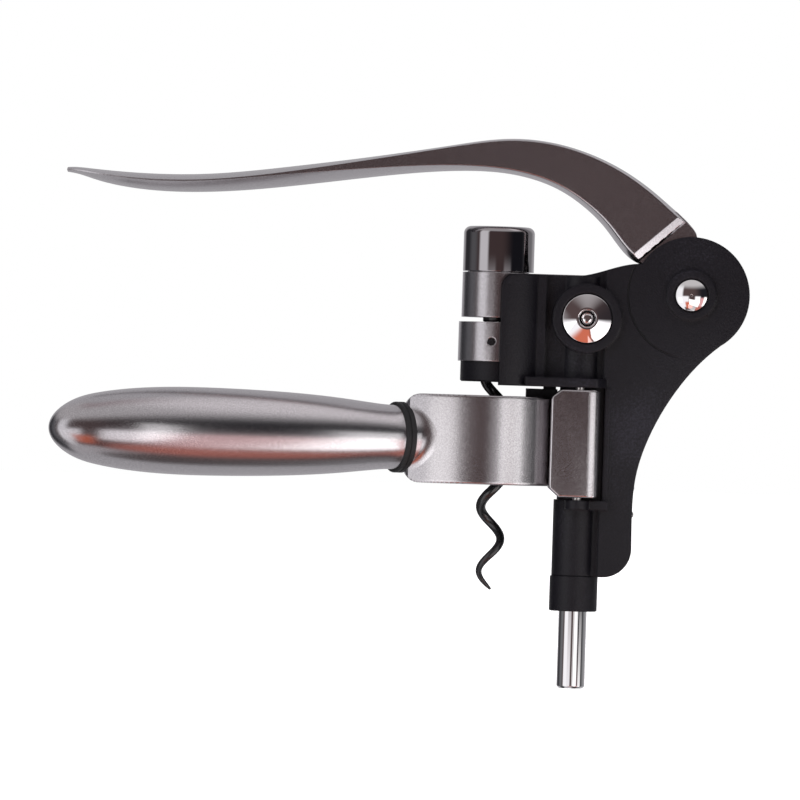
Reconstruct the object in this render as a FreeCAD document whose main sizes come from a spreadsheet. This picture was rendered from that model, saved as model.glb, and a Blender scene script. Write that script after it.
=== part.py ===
import FreeCAD, Part
import Sketcher
import math
import os
import re

# Lever corkscrew. Millimetres. The origin is on the worm's axis at mid-height of the neck ring,
# X runs from the worm towards the guide rod and the lever pivot, -Y is the near side and Z is up.
# The lever lies forward over the grips, and the worm is at the bottom of its travel.

SIZES = {
    # Worm: a right-handed wire helix about the Z axis, below a turned shank.
    "worm_pitch": 19.4,
    "worm_outer_radius": 4.65,
    "wire_radius": 1.5,
    "worm_tip_z": -45.0,
    "worm_left_z": -39.4,
    "worm_taper_turns": 0.36,
    "shank_radius": 4.2,
    "shank_bottom_z": 35.45,
    "shank_shoulder_z": 44.0,
    "spindle_radius": 3.0,
    "spindle_top_z": 55.0,
    # Fits.
    "running_clearance": 0.05,
    "channel_clearance": 0.3,
    "sliding_clearance": 0.2,
    "free_clearance": 0.3,
    "seat_clearance": 0.02,
    # Collars on the worm's axis.
    "carrier_radius": 10.65,
    "carrier_bottom_z": 36.7,
    "carrier_top_z": 50.2,
    "cap_bottom_z": 50.5,
    "cap_height": 13.5,
    "cap_wall": 1.4,
    "cap_edge_round": 1.3,
    "spigot_height": 4.0,
    "nut_radius": 8.0,
    "nut_collar_radius": 11.35,
    "nut_collar_bottom_z": 23.5,
    "nut_collar_top_z": 35.3,
    "nut_bush_radius": 10.5,
    "nut_pin_radius": 1.2,
    "nut_pin_x": -1.5,
    "nut_pin_z": 29.4,
    "washer_radius": 6.0,
    "washer_height": 0.9,
    # Guide rod and its sleeve.
    "rod_axis_x": 25.5,
    "rod_radius": 4.25,
    "rod_bottom_z": -73.8,
    "rod_end_chamfer": 0.7,
    "rod_stud_radius": 1.6,
    "sleeve_radius": 6.8,
    "spine_radius": 5.9,
    "bush_radius": 7.2,
    "bush_height": 10.5,
    "bush_spigot_radius": 5.7,
    "bush_spigot_height": 4.0,
    # Body shells.
    "plate_outer": 7.4,
    "plate_inner": 5.2,
    "body_top_z": 50.0,
    "plate_left_x": 12.0,
    "cradle_left_x": 1.07,
    "cradle_radius": 14.0,
    "cradle_corner": 4.5,
    "flange_bottom_z": 16.5,
    "flange_height": 2.7,
    "flange_reach": 13.0,
    "flange_right_x": 34.6,
    "seat_lip_height": 0.9,
    "worm_passage_radius": 5.3,
    "slot_bottom_z": -17.2,
    "lug_height": 2.8,
    "slot_right_x": 33.0,
    "border_width": 1.8,
    "border_rise": 0.6,
    "column_recess_left_x": 14.6,
    "column_recess_right_x": 32.4,
    "recess_floor": 4.6,
    "leg_bottom_z": -40.1,
    "leg_corner_radius": 8.6,
    # Lever pivot.
    "pivot_x": 57.9,
    "pivot_z": 45.1,
    "ear_radius": 17.5,
    "pivot_pin_radius": 3.2,
    "pivot_boss_radius": 7.5,
    "pivot_boss_face": 8.8,
    "pivot_cap_radius": 4.65,
    "pivot_cap_dome": 1.7,
    # Dished caps over the column.
    "dish_x": 26.9,
    "dish_z": 37.2,
    "dish_boss_radius": 10.35,
    "dish_boss_face": 9.4,
    "dish_cap_radius": 7.45,
    "dish_hole_radius": 2.4,
    "dish_cap_rise": 2.0,
    "dish_pin_radius": 1.9,
    # Gear and rack: module 1, a stub tooth.
    "gear_teeth": 33,
    "tooth_module": 1.0,
    "tooth_tip": 0.8,
    "tooth_root": 1.0,
    "tooth_backlash": 0.16,
    "gear_half_width": 3.0,
    "rack_back_x": 36.0,
    "rack_bottom_z": -10.5,
    "rack_top_z": 47.5,
    "arm_bottom_z": 38.5,
    "rack_stop_top_z": -11.5,
    "rack_stop_bottom_z": -23.5,
    "rear_screw_upper_z": -13.1,
    "rear_screw_lower_z": -21.1,
    "rear_screw_radius": 0.8,
    "rear_head_radius": 1.25,
    "screw_radius": 1.2,
    "screw_head_radius": 2.2,
    # Lever.
    "hub_radius": 15.0,
    "hub_half_width": 4.9,
    "shoulder_radius": 18.0,
    "lever_tip_x": -130.8,
    "lever_tip_z": 77.3,
    "lever_blade_half_width": 11.0,
    "dowel_radius": 1.25,
    "dowel_circle_radius": 10.0,
    # Jaws: each half ring turns on its own upright pin.
    "hinge_y": 10.0,
    "hinge_pin_radius": 1.4,
    "ring_half_height": 13.3,
    "ring_face_y": 21.5,
    "ring_face_x": -4.5,
    "ring_right_radius": 24.0,
    "ring_left_radius": 50.0,
    "ring_right_x": 17.0,
    "ring_inner_radius": 15.5,
    "jaw_half_gap": 2.1,
    "jaw_end_x": -26.6,
    "jaw_end_corner": 4.5,
    "jaw_end_edge": 3.0,
    "block_inner": 6.7,
    "block_outer": 14.0,
    "block_left_x": 16.0,
    "block_right_x": 31.5,
    "block_top_z": 15.8,
    "block_bottom_z": -16.4,
    "block_chamfer": 2.6,
    "pad_thickness": 1.1,
    "pad_half_height": 11.0,
    # Grips.
    "grip_splay": 24.0,
    "grip_root_x": -27.5,
    "grip_root_y": 12.0,
    "grip_length": 111.0,
    "grip_root_radius": 9.3,
    "grip_belly_radius": 13.05,
    "grip_belly_place": 0.52,
    "band_radius": 10.6,
    "band_thickness": 2.0,
    "stub_length": 13.0,
    "tang_radius": 4.0,
    "tang_length": 34.0,
    # Bottle trigger.
    "trigger_left_x": 9.4,
    "trigger_right_x": 18.8,
    "trigger_half_width": 4.4,
    "trigger_bottom_z": 8.0,
    "trigger_top_z": 15.8,
    "stem_x": 16.5,
    "stem_half_width": 1.9,
    "stem_top_z": 20.0,
    "spring_radius": 1.7,
    "spring_bore_radius": 1.1,
    "spring_pocket_top_z": 25.2,
}

doc = FreeCAD.newDocument("lever_corkscrew")
sheet = doc.addObject("Spreadsheet::Sheet", "Sizes")
for row, (alias, number) in enumerate(SIZES.items(), start=1):
    sheet.set(f"A{row}", alias)
    sheet.set(f"B{row}", str(number))
    sheet.setAlias(f"B{row}", alias)
doc.recompute()

NODES = {}
V = FreeCAD.Vector
TURN = {
    "x": FreeCAD.Rotation(V(0, 1, 0), 90),
    "y": FreeCAD.Rotation(V(1, 0, 0), -90),
    "z": FreeCAD.Rotation(),
}


def size(alias):
    """The number in the sheet under this alias."""
    return float(sheet.get(alias))


def evaluate(words):
    """The value of an expression over the sheet's aliases."""
    return float(sheet.evalExpression(str(words)))


def bound(words):
    """An expression in which each alias is read from the sheet."""
    return re.sub(r"[a-z]+(?:_[a-z]+)+", lambda found: "Sizes." + found.group(0), str(words))


def keep(label, part):
    """Name a finished sub-part; its label is its file's name."""
    part.Label = label
    NODES[label] = part
    return part


def place(part, x, y, z):
    """Bind a part's position to the sheet."""
    for axis, words in zip("xyz", (x, y, z)):
        part.setExpression(f"Placement.Base.{axis}", bound(words))
    return part


def cylinder(label, radius, height, x="0", y="0", z="0", axis="z"):
    part = doc.addObject("Part::Cylinder", label)
    part.Placement = FreeCAD.Placement(V(), TURN[axis])
    part.setExpression("Radius", bound(radius))
    part.setExpression("Height", bound(height))
    return place(part, x, y, z)


def block(label, x, y, z):
    """A box between two limits on each axis."""
    part = doc.addObject("Part::Box", label)
    for name, (low, high) in zip(("Length", "Width", "Height"), (x, y, z)):
        part.setExpression(name, bound(f"({high}) - ({low})"))
    return place(part, x[0], y[0], z[0])


def fuse(label, *parts):
    whole = doc.addObject("Part::MultiFuse", label)
    whole.Shapes = list(parts)
    return whole


def common(label, *parts):
    shared = doc.addObject("Part::MultiCommon", label)
    shared.Shapes = list(parts)
    return shared


def cut(label, base, *tools):
    result = doc.addObject("Part::Cut", label)
    result.Base = base
    result.Tool = tools[0] if len(tools) == 1 else fuse(label + "_tools", *tools)
    return result


def mirror(label, source):
    """The same form on the far side."""
    twin = doc.addObject("Part::Mirroring", label)
    twin.Source = source
    twin.Normal = V(0, 1, 0)
    return twin


def group(label, *parts):
    """Separate solids that share one node."""
    several = doc.addObject("Part::Compound", label)
    several.Links = list(parts)
    return several


def side_outline(label, edges):
    """A closed outline in the XZ plane, whose normal is -Y."""
    sketch = doc.addObject("Sketcher::SketchObject", label)
    sketch.Placement = FreeCAD.Placement(V(), FreeCAD.Rotation(V(1, 0, 0), 90))
    sketch.addGeometry(edges, False)
    return sketch


def side_prism(label, edges, half_width):
    """An XZ outline carried the same distance to both sides of the middle plane."""
    prism = doc.addObject("Part::Extrusion", label)
    prism.Base = side_outline(label + "_outline", edges)
    prism.DirMode = "Custom"
    prism.Dir = V(0, -1, 0)
    prism.Solid = True
    prism.setExpression("LengthFwd", bound(half_width))
    prism.setExpression("LengthRev", bound(half_width))
    return prism


def flat(x, z):
    """A point of a side outline in its sketch."""
    return V(x, z, 0)


def polygon(points):
    corners = [flat(*point) for point in points]
    return [Part.LineSegment(a, b) for a, b in zip(corners, corners[1:] + corners[:1])]


def arc_about(centre, radius, start, end):
    """Three points of an arc, with its angles in degrees from +X towards +Z."""
    points = []
    for angle in (start, (start + end) / 2, end):
        turn = math.radians(angle)
        points.append(flat(centre[0] + radius * math.cos(turn), centre[1] + radius * math.sin(turn)))
    return points


def smooth(points):
    curve = Part.BSplineCurve()
    curve.interpolate(points)
    return curve


def turned(label, profile, x="0", y="0", z="0", axis="z"):
    """A PartDesign body turned from a profile of (radius, height) expressions."""
    body = doc.addObject("PartDesign::Body", label)
    plane = next(item for item in body.Origin.OriginFeatures if item.Role == "XZ_Plane")
    sketch = body.newObject("Sketcher::SketchObject", label + "_profile")
    sketch.AttachmentSupport = [(plane, "")]
    sketch.MapMode = "FlatFace"
    numbers = [(evaluate(radius), evaluate(height)) for radius, height in profile]
    count = len(numbers)
    for index in range(count):
        start = V(*numbers[index], 0)
        end = V(*numbers[(index + 1) % count], 0)
        sketch.addGeometry(Part.LineSegment(start, end), False)
    for index in range(count):
        sketch.addConstraint(Sketcher.Constraint("Coincident", index, 2, (index + 1) % count, 1))
    for index, (radius, height) in enumerate(profile):
        if abs(numbers[index][0]) < 1e-9:
            sketch.addConstraint(Sketcher.Constraint("PointOnObject", index, 1, -2))
        else:
            datum = Sketcher.Constraint("DistanceX", -1, 1, index, 1, numbers[index][0])
            sketch.setExpression(f"Constraints[{sketch.addConstraint(datum)}]", bound(radius))
        if abs(numbers[index][1]) < 1e-9:
            sketch.addConstraint(Sketcher.Constraint("PointOnObject", index, 1, -1))
        else:
            datum = Sketcher.Constraint("DistanceY", -1, 1, index, 1, numbers[index][1])
            sketch.setExpression(f"Constraints[{sketch.addConstraint(datum)}]", bound(height))
    turn = body.newObject("PartDesign::Revolution", label + "_turn")
    turn.Profile = sketch
    turn.ReferenceAxis = (sketch, ["V_Axis"])
    turn.Angle = 360
    body.Placement = FreeCAD.Placement(V(), TURN[axis])
    return place(body, x, y, z)


def near(label, *parts):
    """The near half of some parts: what lies on the -Y side of the middle plane."""
    half = block(label + "_half", ("-60", "120"), ("-60", "0"), ("-120", "160"))
    return common(label, half, parts[0] if len(parts) == 1 else fuse(label + "_whole", *parts))


PIVOT = (size("pivot_x"), size("pivot_z"))
REACH = "60"


def body_outline():
    """The side view of a body shell, right of the cradle, from its lower left corner clockwise."""
    left = size("plate_left_x")
    top = size("body_top_z")
    rod = size("rod_axis_x")
    shelf = size("flange_bottom_z")
    foot = size("leg_bottom_z")
    ear = arc_about(PIVOT, size("ear_radius"), 149, -58)
    leg = 42.3
    corner = size("leg_corner_radius")
    turn = corner * (1 - math.sqrt(0.5))
    step = flat(rod - 4.5, top)
    return [
        Part.LineSegment(flat(rod, shelf), flat(left, shelf)),
        Part.LineSegment(flat(left, shelf), flat(left, top)),
        Part.LineSegment(flat(left, top), step),
        smooth([step, flat(rod + 3.5, top + 0.9), flat(rod + 9, top + 2.6), ear[0]]),
        Part.Arc(*ear),
        smooth([ear[2], flat(60.9, 24.6), flat(53.3, 14.9), flat(45.9, 0.6), flat(43.0, -9.5),
                flat(42.2, -19.1), flat(leg, foot + corner)]),
        Part.Arc(flat(leg, foot + corner), flat(leg - turn, foot + turn), flat(leg - corner, foot)),
        Part.LineSegment(flat(leg - corner, foot), flat(rod, foot)),
        Part.LineSegment(flat(rod, foot), flat(rod, shelf)),
    ]


def cradle():
    """A wall half round the collars, open to the left, over a flange that the nut's bush sits on."""
    height = "body_top_z - flange_bottom_z"
    wall = cylinder("cradle_wall", "cradle_radius", height, z="flange_bottom_z")
    corner_x = "cradle_left_x + cradle_corner"
    corner_z = "body_top_z - cradle_corner"
    corner = cut(
        "cradle_corner_waste",
        block("cradle_corner_square", ("cradle_left_x - 1", corner_x), (f"-{REACH}", REACH),
              (corner_z, "body_top_z + 1")),
        cylinder("cradle_corner_round", "cradle_corner", f"2 * {REACH}", corner_x, f"-{REACH}", corner_z, "y"),
    )
    open_side = block("cradle_open_side", (f"-{REACH}", "cradle_left_x"), (f"-{REACH}", REACH),
                      ("flange_bottom_z - 1", "body_top_z + 1"))
    return cut("cradle", wall, open_side, corner)


def flange():
    """The shelf under the cradle. Its front corners carry the tops of the jaw hinge pins."""
    top = ("flange_bottom_z", "flange_bottom_z + flange_height")
    shelf = block("flange_shelf", ("9", "flange_right_x"), ("-flange_reach", "flange_reach"), top)
    outer = cylinder("flange_end", "flange_reach + 10", "flange_height", "flange_right_x - flange_reach - 10", "0",
                     "flange_bottom_z")
    return common("flange", shelf, outer)


def lug(side):
    """A tongue below the slot, round the lower end of a jaw hinge pin."""
    low = "slot_bottom_z - lug_height"
    eye = cylinder(side + "_lug_eye", "hinge_pin_radius + 2.2", "lug_height", "rod_axis_x", "-hinge_y", low)
    web = block(side + "_lug_web", ("rod_axis_x - hinge_pin_radius - 2.2", "slot_right_x + border_width"),
                ("-hinge_y", "0"), (low, "slot_bottom_z"))
    return fuse(side + "_lug", eye, web)


def shell(side):
    """One half of the body, shown on the near side: plate, cradle, column, sleeve, bosses and lugs."""
    def name(words):
        return f"{side}_{words}"

    plate = side_prism(name("plate"), body_outline(), "plate_outer")
    slot = block(name("slot"), ("-1", "slot_right_x"), (f"-{REACH}", "-recess_floor"),
                 ("slot_bottom_z", "flange_bottom_z"))
    recess = block(name("recess"), ("column_recess_left_x", "column_recess_right_x"),
                   (f"-{REACH}", "-recess_floor"), ("flange_bottom_z + flange_height", "body_top_z + 10"))
    sleeve_rim = block(name("sleeve_rim"), ("0", "rod_axis_x + sleeve_radius"), (f"-{REACH}", "-recess_floor"),
                       ("leg_bottom_z - 1", "slot_bottom_z - lug_height"))
    plate = cut(name("plate_cut"), plate, slot, recess, sleeve_rim)
    column = cylinder(name("column"), "sleeve_radius", "body_top_z - flange_bottom_z", "rod_axis_x", "0",
                      "flange_bottom_z")
    spine = cylinder(name("spine"), "spine_radius", "flange_bottom_z - slot_bottom_z", "rod_axis_x", "0",
                     "slot_bottom_z")
    sleeve = cylinder(name("sleeve"), "sleeve_radius", "slot_bottom_z - leg_bottom_z", "rod_axis_x", "0",
                      "leg_bottom_z")
    border = block(name("border"), ("slot_right_x", "slot_right_x + border_width"),
                   ("-plate_outer - border_rise", "0"), ("slot_bottom_z - lug_height", "flange_bottom_z"))
    dish_boss = cylinder(name("dish_boss"), "dish_boss_radius", "dish_boss_face", "dish_x", "-dish_boss_face",
                         "dish_z", "y")
    pivot_boss = cylinder(name("pivot_boss"), "pivot_boss_radius", "pivot_boss_face - plate_inner", "pivot_x",
                          "-pivot_boss_face", "pivot_z", "y")
    whole = near(name("body"), plate, cradle(), flange(), column, spine, sleeve, border, dish_boss, pivot_boss,
                 lug(side))
    channel = "gear_half_width + sliding_clearance"
    slot_half = (f"-({channel})", channel)
    cuts = [
        cylinder(name("collar_space"), "nut_collar_radius + free_clearance", REACH, "0", "0",
                 "flange_bottom_z + flange_height"),
        cylinder(name("bush_seat"), "nut_bush_radius + running_clearance", REACH, "0", "0",
                 "flange_bottom_z + seat_lip_height"),
        cylinder(name("worm_passage"), "worm_passage_radius", REACH, "0", "0", "flange_bottom_z - 1"),
        cylinder(name("rod_bore"), "rod_radius + running_clearance", "2 * " + REACH, "rod_axis_x", "0",
                 "leg_bottom_z - 1"),
        cylinder(name("bush_spigot_seat"), "bush_spigot_radius + seat_clearance", "bush_spigot_height + 1",
                 "rod_axis_x", "0", "leg_bottom_z - 1"),
        block(name("arm_slot"), ("9", "rack_back_x + 6"), slot_half, ("arm_bottom_z - free_clearance", REACH)),
        block(name("tongue_slot"), ("9", "column_recess_left_x + 4"), slot_half,
              ("nut_collar_bottom_z + 2.5", REACH)),
        block(name("rack_channel"), ("rack_back_x - sliding_clearance", "rack_back_x + 7.4"), slot_half,
              ("rack_stop_bottom_z", REACH)),
        cylinder(name("gear_space"), "ear_radius + 0.4", "2 * plate_inner", "pivot_x", "-plate_inner", "pivot_z",
                 "y"),
        block(name("arm_space"), ("pivot_x - 3.2", "pivot_x + 30"), ("-plate_inner", "plate_inner"),
              ("pivot_z - 24.7", "pivot_z")),
        cylinder(name("pivot_bore"), "pivot_pin_radius + seat_clearance", "2 * " + REACH, "pivot_x", "-" + REACH,
                 "pivot_z", "y"),
        cylinder(name("pivot_cap_seat"), "pivot_cap_radius + 0.5", "10", "pivot_x", "-pivot_boss_face + 0.6 - 10",
                 "pivot_z", "y"),
        cylinder(name("dish_pin_bore"), "dish_pin_radius + seat_clearance", REACH, "dish_x",
                 "-rod_radius - 0.6 - " + REACH, "dish_z", "y"),
        cylinder(name("dish_cap_seat"), "dish_cap_radius + 0.25", "10", "dish_x", "-dish_boss_face + 0.8 - 10",
                 "dish_z", "y"),
        cylinder(name("hinge_upper_bore"), "hinge_pin_radius + seat_clearance", "flange_height - 0.6",
                 "rod_axis_x", "-hinge_y", "flange_bottom_z"),
        cylinder(name("hinge_lower_bore"), "hinge_pin_radius + seat_clearance", "lug_height + 1", "rod_axis_x",
                 "-hinge_y", "slot_bottom_z - lug_height"),
        block(name("trigger_space"), ("trigger_left_x - 0.3", "trigger_right_x + 0.2"),
              ("-trigger_half_width - 0.3", "trigger_half_width + 0.3"),
              ("trigger_bottom_z - 1", "flange_bottom_z + seat_lip_height + 0.1")),
        block(name("spring_pocket"), ("stem_x - stem_half_width - sliding_clearance",
                                      "stem_x + stem_half_width + sliding_clearance"),
              ("-stem_half_width - sliding_clearance", "stem_half_width + sliding_clearance"),
              ("flange_bottom_z - 1", "spring_pocket_top_z")),
    ]
    for number, z in enumerate(("rear_screw_upper_z", "rear_screw_lower_z")):
        cuts.append(cylinder(name(f"rear_hole_{number}"), "rear_screw_radius + seat_clearance", "14",
                             "rack_back_x - 3.7", "0", z, "x"))
    return whole, cuts


SCREW_PLACES = (("33.9", "22.6"), ("37.4", "-31.5"), ("52.6", "22.0"))


def body_shells():
    near_whole, near_cuts = shell("near")
    far_whole, far_cuts = shell("far")
    far_blank = cut("far_blank", far_whole, *far_cuts)
    blind = []
    through = []
    screws = []
    for number, (x, z) in enumerate(SCREW_PLACES):
        blind.append(cylinder(f"screw_blind_{number}", "screw_radius + seat_clearance", "plate_inner", x,
                              "-plate_inner", z, "y"))
        hole = cylinder(f"screw_hole_{number}", "screw_radius + running_clearance", REACH, x, "-1", z, "y")
        seat = cylinder(f"screw_seat_{number}", "screw_head_radius + 0.15", REACH, x, "plate_outer - 1.6", z, "y")
        through += [hole, seat]
        shank = cylinder(f"screw_shank_{number}", "screw_radius", "plate_inner + plate_outer - 2.0", x,
                         "-plate_inner + 0.4", z, "y")
        head = cylinder(f"screw_head_{number}", "screw_head_radius", "1.3", x, "plate_outer - 1.6", z, "y")
        drive = block(f"screw_drive_{number}", (f"{x} - screw_head_radius", f"{x} + screw_head_radius"),
                      ("plate_outer - 0.8", "plate_outer"), (f"({z}) - 0.3", f"({z}) + 0.3"))
        screws.append(cut(f"shell_screw_{number}", fuse(f"screw_{number}_blank", shank, head), drive))
    keep("near_body_shell", cut("near_shell", near_whole, *near_cuts, *blind))
    keep("far_body_shell", cut("far_shell", mirror("far_mirrored", far_blank), *through))
    keep("shell_screws", group("screws", *screws))


def nut_parts():
    """The threaded insert, its silver collar with a guide tongue, its bush and its cross pin."""
    seat = "flange_bottom_z + seat_lip_height"
    tongue = block("nut_tongue", ("nut_radius + 1", "column_recess_left_x + 3.6"),
                   ("-gear_half_width", "gear_half_width"), ("nut_collar_bottom_z + 2.8", "nut_collar_top_z"))
    collar = cylinder("nut_collar_blank", "nut_collar_radius", "nut_collar_top_z - nut_collar_bottom_z",
                      z="nut_collar_bottom_z")
    bore = cylinder("nut_collar_bore", "nut_radius + seat_clearance", REACH, z="nut_collar_bottom_z - 1")
    pin_hole = cylinder("nut_pin_hole", "nut_pin_radius + seat_clearance", "nut_collar_radius", "nut_pin_x",
                        "-nut_collar_radius - nut_pin_radius", "nut_pin_z", "y")
    keep("nut_collar", cut("nut_collar_cut", fuse("nut_collar_whole", collar, tongue), bore, pin_hole))
    keep("nut_bush", turned("nut_bush_body", (
        ("nut_radius + seat_clearance", seat), ("nut_bush_radius - 0.4", seat),
        ("nut_bush_radius", f"{seat} + 0.4"), ("nut_bush_radius", "nut_collar_bottom_z"),
        ("nut_radius + seat_clearance", "nut_collar_bottom_z"))))
    pin = cylinder("nut_pin_blank", "nut_pin_radius", "nut_collar_radius - 6.2", "nut_pin_x",
                   "-nut_collar_radius + 0.15", "nut_pin_z", "y")
    keep("nut_pin", pin)
    insert = cylinder("worm_nut_blank", "nut_radius", f"nut_collar_top_z - 0.2 - ({seat}) - 0.2",
                      z=f"{seat} + 0.2")
    pin_socket = cylinder("nut_pin_socket", "nut_pin_radius + seat_clearance", "nut_collar_radius", "nut_pin_x",
                          "-nut_collar_radius - 6", "nut_pin_z", "y")
    thread = doc.addObject("Part::Feature", "worm_nut_channel")
    thread.Shape = wire_helix(size("wire_radius") + size("channel_clearance"), size("flange_bottom_z") - 3,
                              size("nut_collar_top_z") + 3)
    keep("worm_nut", cut("worm_nut_cut", insert, pin_socket, thread))


def helix_point(z):
    """The wire's centre at this height: it is furthest left at worm_left_z, and rises anticlockwise."""
    turn = math.radians(180 + (z - size("worm_left_z")) / size("worm_pitch") * 360)
    radius = size("worm_outer_radius") - size("wire_radius")
    return V(radius * math.cos(turn), radius * math.sin(turn), z), turn


def helix_direction(turn):
    radius = size("worm_outer_radius") - size("wire_radius")
    rise = size("worm_pitch") / (2 * math.pi)
    return V(-radius * math.sin(turn), radius * math.cos(turn), rise).normalize()


def wire_section(z, wire):
    centre, turn = helix_point(z)
    return Part.Wire(Part.Edge(Part.Circle(centre, helix_direction(turn), wire)))


def wire_helix(wire, low, high):
    """A round wire along the worm's helix between two heights."""
    pitch = size("worm_pitch")
    radius = size("worm_outer_radius") - size("wire_radius")
    path = Part.makeHelix(pitch, high - low, radius)
    start, turn = helix_point(low)
    path.Placement = FreeCAD.Placement(V(0, 0, low), FreeCAD.Rotation(V(0, 0, 1), math.degrees(turn)))
    section = wire_section(low, wire)
    return Part.Wire(path.Edges).makePipeShell([section], True, True)


def wire_arcs(wire, low, high):
    """The same wire as short arcs, eight to a turn, which join cleanly to turned faces."""
    count = max(1, round((high - low) / size("worm_pitch") * 8))
    step = (high - low) / count
    arcs = []
    for index in range(count):
        heights = (low + index * step, low + (index + 0.5) * step, low + (index + 1) * step)
        arcs.append(Part.Arc(*[helix_point(z)[0] for z in heights]).toShape())
    path = Part.Wire(arcs)
    first = path.Edges[0]
    section = Part.Circle(helix_point(low)[0], first.tangentAt(first.FirstParameter), wire)
    return path.makePipeShell([Part.Wire(Part.Edge(section))], True, False)


def worm():
    """Shank, spindle, helix, and a last part turn that narrows to a point."""
    wire = size("wire_radius")
    pitch = size("worm_pitch")
    tip = size("worm_tip_z")
    body_low = tip + pitch * size("worm_taper_turns")
    helix = wire_arcs(wire, body_low, size("shank_bottom_z") - 0.25)
    steps = 6
    sections = []
    sections.append(wire_section(body_low + 0.5, wire - 0.01))
    for step in range(1, steps + 1):
        share = step / steps
        z = body_low + (tip - body_low) * share
        sections.append(wire_section(z, max(wire * (1 - share) ** 0.75, 0.12)))
    taper = Part.makeLoft(sections, True, False)
    wound = doc.addObject("Part::Feature", "worm_wire")
    wound.Shape = helix.fuse(taper).removeSplitter()
    shank = cylinder("worm_shank", "shank_radius", "shank_shoulder_z - shank_bottom_z", z="shank_bottom_z")
    spindle = cylinder("worm_spindle", "spindle_radius", "spindle_top_z - shank_shoulder_z",
                       z="shank_shoulder_z")
    groove_z = "carrier_top_z + washer_height + running_clearance"
    groove = cut("worm_groove",
                 cylinder("worm_groove_outer", "spindle_radius + 1", "washer_height", z=groove_z),
                 cylinder("worm_groove_inner", "spindle_radius - 0.5", "washer_height", z=groove_z))
    keep("worm", cut("worm_cut", fuse("worm_whole", wound, shank, spindle), groove))
    bore = "spindle_radius + running_clearance"
    keep("worm_washer", cut("worm_washer_cut",
                            cylinder("worm_washer_disc", "washer_radius", "washer_height", z="carrier_top_z"),
                            cylinder("worm_washer_bore", bore, REACH, z="carrier_top_z - 1")))
    clip = cut("worm_clip_ring",
               cylinder("worm_clip_disc", "spindle_radius + 1.6", "washer_height - 0.1", z=groove_z),
               cylinder("worm_clip_bore", "spindle_radius - 0.5 + seat_clearance", REACH, z="carrier_top_z"))
    mouth = block("worm_clip_mouth", ("0", "spindle_radius + 2"), ("-1.4", "1.4"), ("carrier_top_z", REACH))
    keep("worm_clip", cut("worm_clip_cut", clip, mouth))


def carriage():
    """Collar, bridge to the rod and rack, and the chrome cap over the worm's spindle."""
    collar = cylinder("carrier_collar", "carrier_radius", "carrier_top_z - carrier_bottom_z", z="carrier_bottom_z")
    spigot = cylinder("carrier_spigot", "carrier_radius - cap_wall - running_clearance", "spigot_height",
                      z="carrier_top_z")
    bridge = block("carrier_bridge", ("8", "rack_back_x"), ("-gear_half_width", "gear_half_width"),
                   ("arm_bottom_z", "carrier_top_z"))
    tab = block("carrier_tab", ("rack_back_x - 1", "rack_back_x + 4"), ("-gear_half_width", "gear_half_width"),
                ("rack_top_z", "carrier_top_z"))
    shank_bore = cylinder("carrier_shank_bore", "shank_radius + running_clearance",
                          "shank_shoulder_z - carrier_bottom_z + 1 + running_clearance", z="carrier_bottom_z - 1")
    spindle_bore = cylinder("carrier_spindle_bore", "spindle_radius + running_clearance", REACH,
                            z="carrier_bottom_z")
    well = cylinder("carrier_well", "washer_radius + free_clearance", REACH, z="carrier_top_z")
    stud_bore = cylinder("carrier_stud_bore", "rod_stud_radius + seat_clearance", REACH, "rod_axis_x", "0",
                         "arm_bottom_z - 1")
    nut_well = cylinder("carrier_nut_well", "rod_stud_radius + 1.0", REACH, "rod_axis_x", "0",
                        "carrier_top_z - 3")
    screw_bore = cylinder("carrier_screw_bore", "screw_radius - 0.2 + seat_clearance", REACH, "rack_back_x + 2", "0",
                          "arm_bottom_z")
    keep("screw_carrier", cut("screw_carrier_cut",
                              fuse("screw_carrier_whole", collar, spigot, bridge, tab),
                              shank_bore, spindle_bore, well, stud_bore, nut_well, screw_bore))
    top = "cap_bottom_z + cap_height"
    wall = "carrier_radius - cap_wall"
    keep("carrier_cap", turned("carrier_cap_body", (
        (wall, "cap_bottom_z"), ("carrier_radius", "cap_bottom_z"), ("carrier_radius", f"{top} - cap_edge_round"),
        ("carrier_radius - 0.3 * cap_edge_round", f"{top} - 0.3 * cap_edge_round"),
        ("carrier_radius - cap_edge_round", top), ("0", top), ("0", f"{top} - 2"),
        (wall, f"{top} - 2"))))
    rod_top = "arm_bottom_z"
    keep("guide_rod", turned("guide_rod_body", (
        ("0", "rod_bottom_z"), ("rod_radius - rod_end_chamfer", "rod_bottom_z"),
        ("rod_radius", "rod_bottom_z + rod_end_chamfer"), ("rod_radius", rod_top),
        ("rod_stud_radius", rod_top), ("rod_stud_radius", "carrier_top_z - 0.6"), ("0", "carrier_top_z - 0.6")),
        x="rod_axis_x"))
    keep("rod_nut", cut("rod_nut_cut",
                        cylinder("rod_nut_blank", "rod_stud_radius + 0.9", "2.2", "rod_axis_x", "0",
                                 "carrier_top_z - 3"),
                        cylinder("rod_nut_bore", "rod_stud_radius + seat_clearance", REACH, "rod_axis_x", "0",
                                 "carrier_bottom_z")))
    rack_screw = fuse("rack_screw_whole",
                      cylinder("rack_screw_shank", "screw_radius - 0.2", "carrier_top_z - rack_top_z + 6",
                               "rack_back_x + 2", "0", "rack_top_z - 6"),
                      cylinder("rack_screw_head", "screw_radius + 0.5", "0.9", "rack_back_x + 2", "0",
                               "carrier_top_z"))
    keep("rack_screw", rack_screw)


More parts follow.
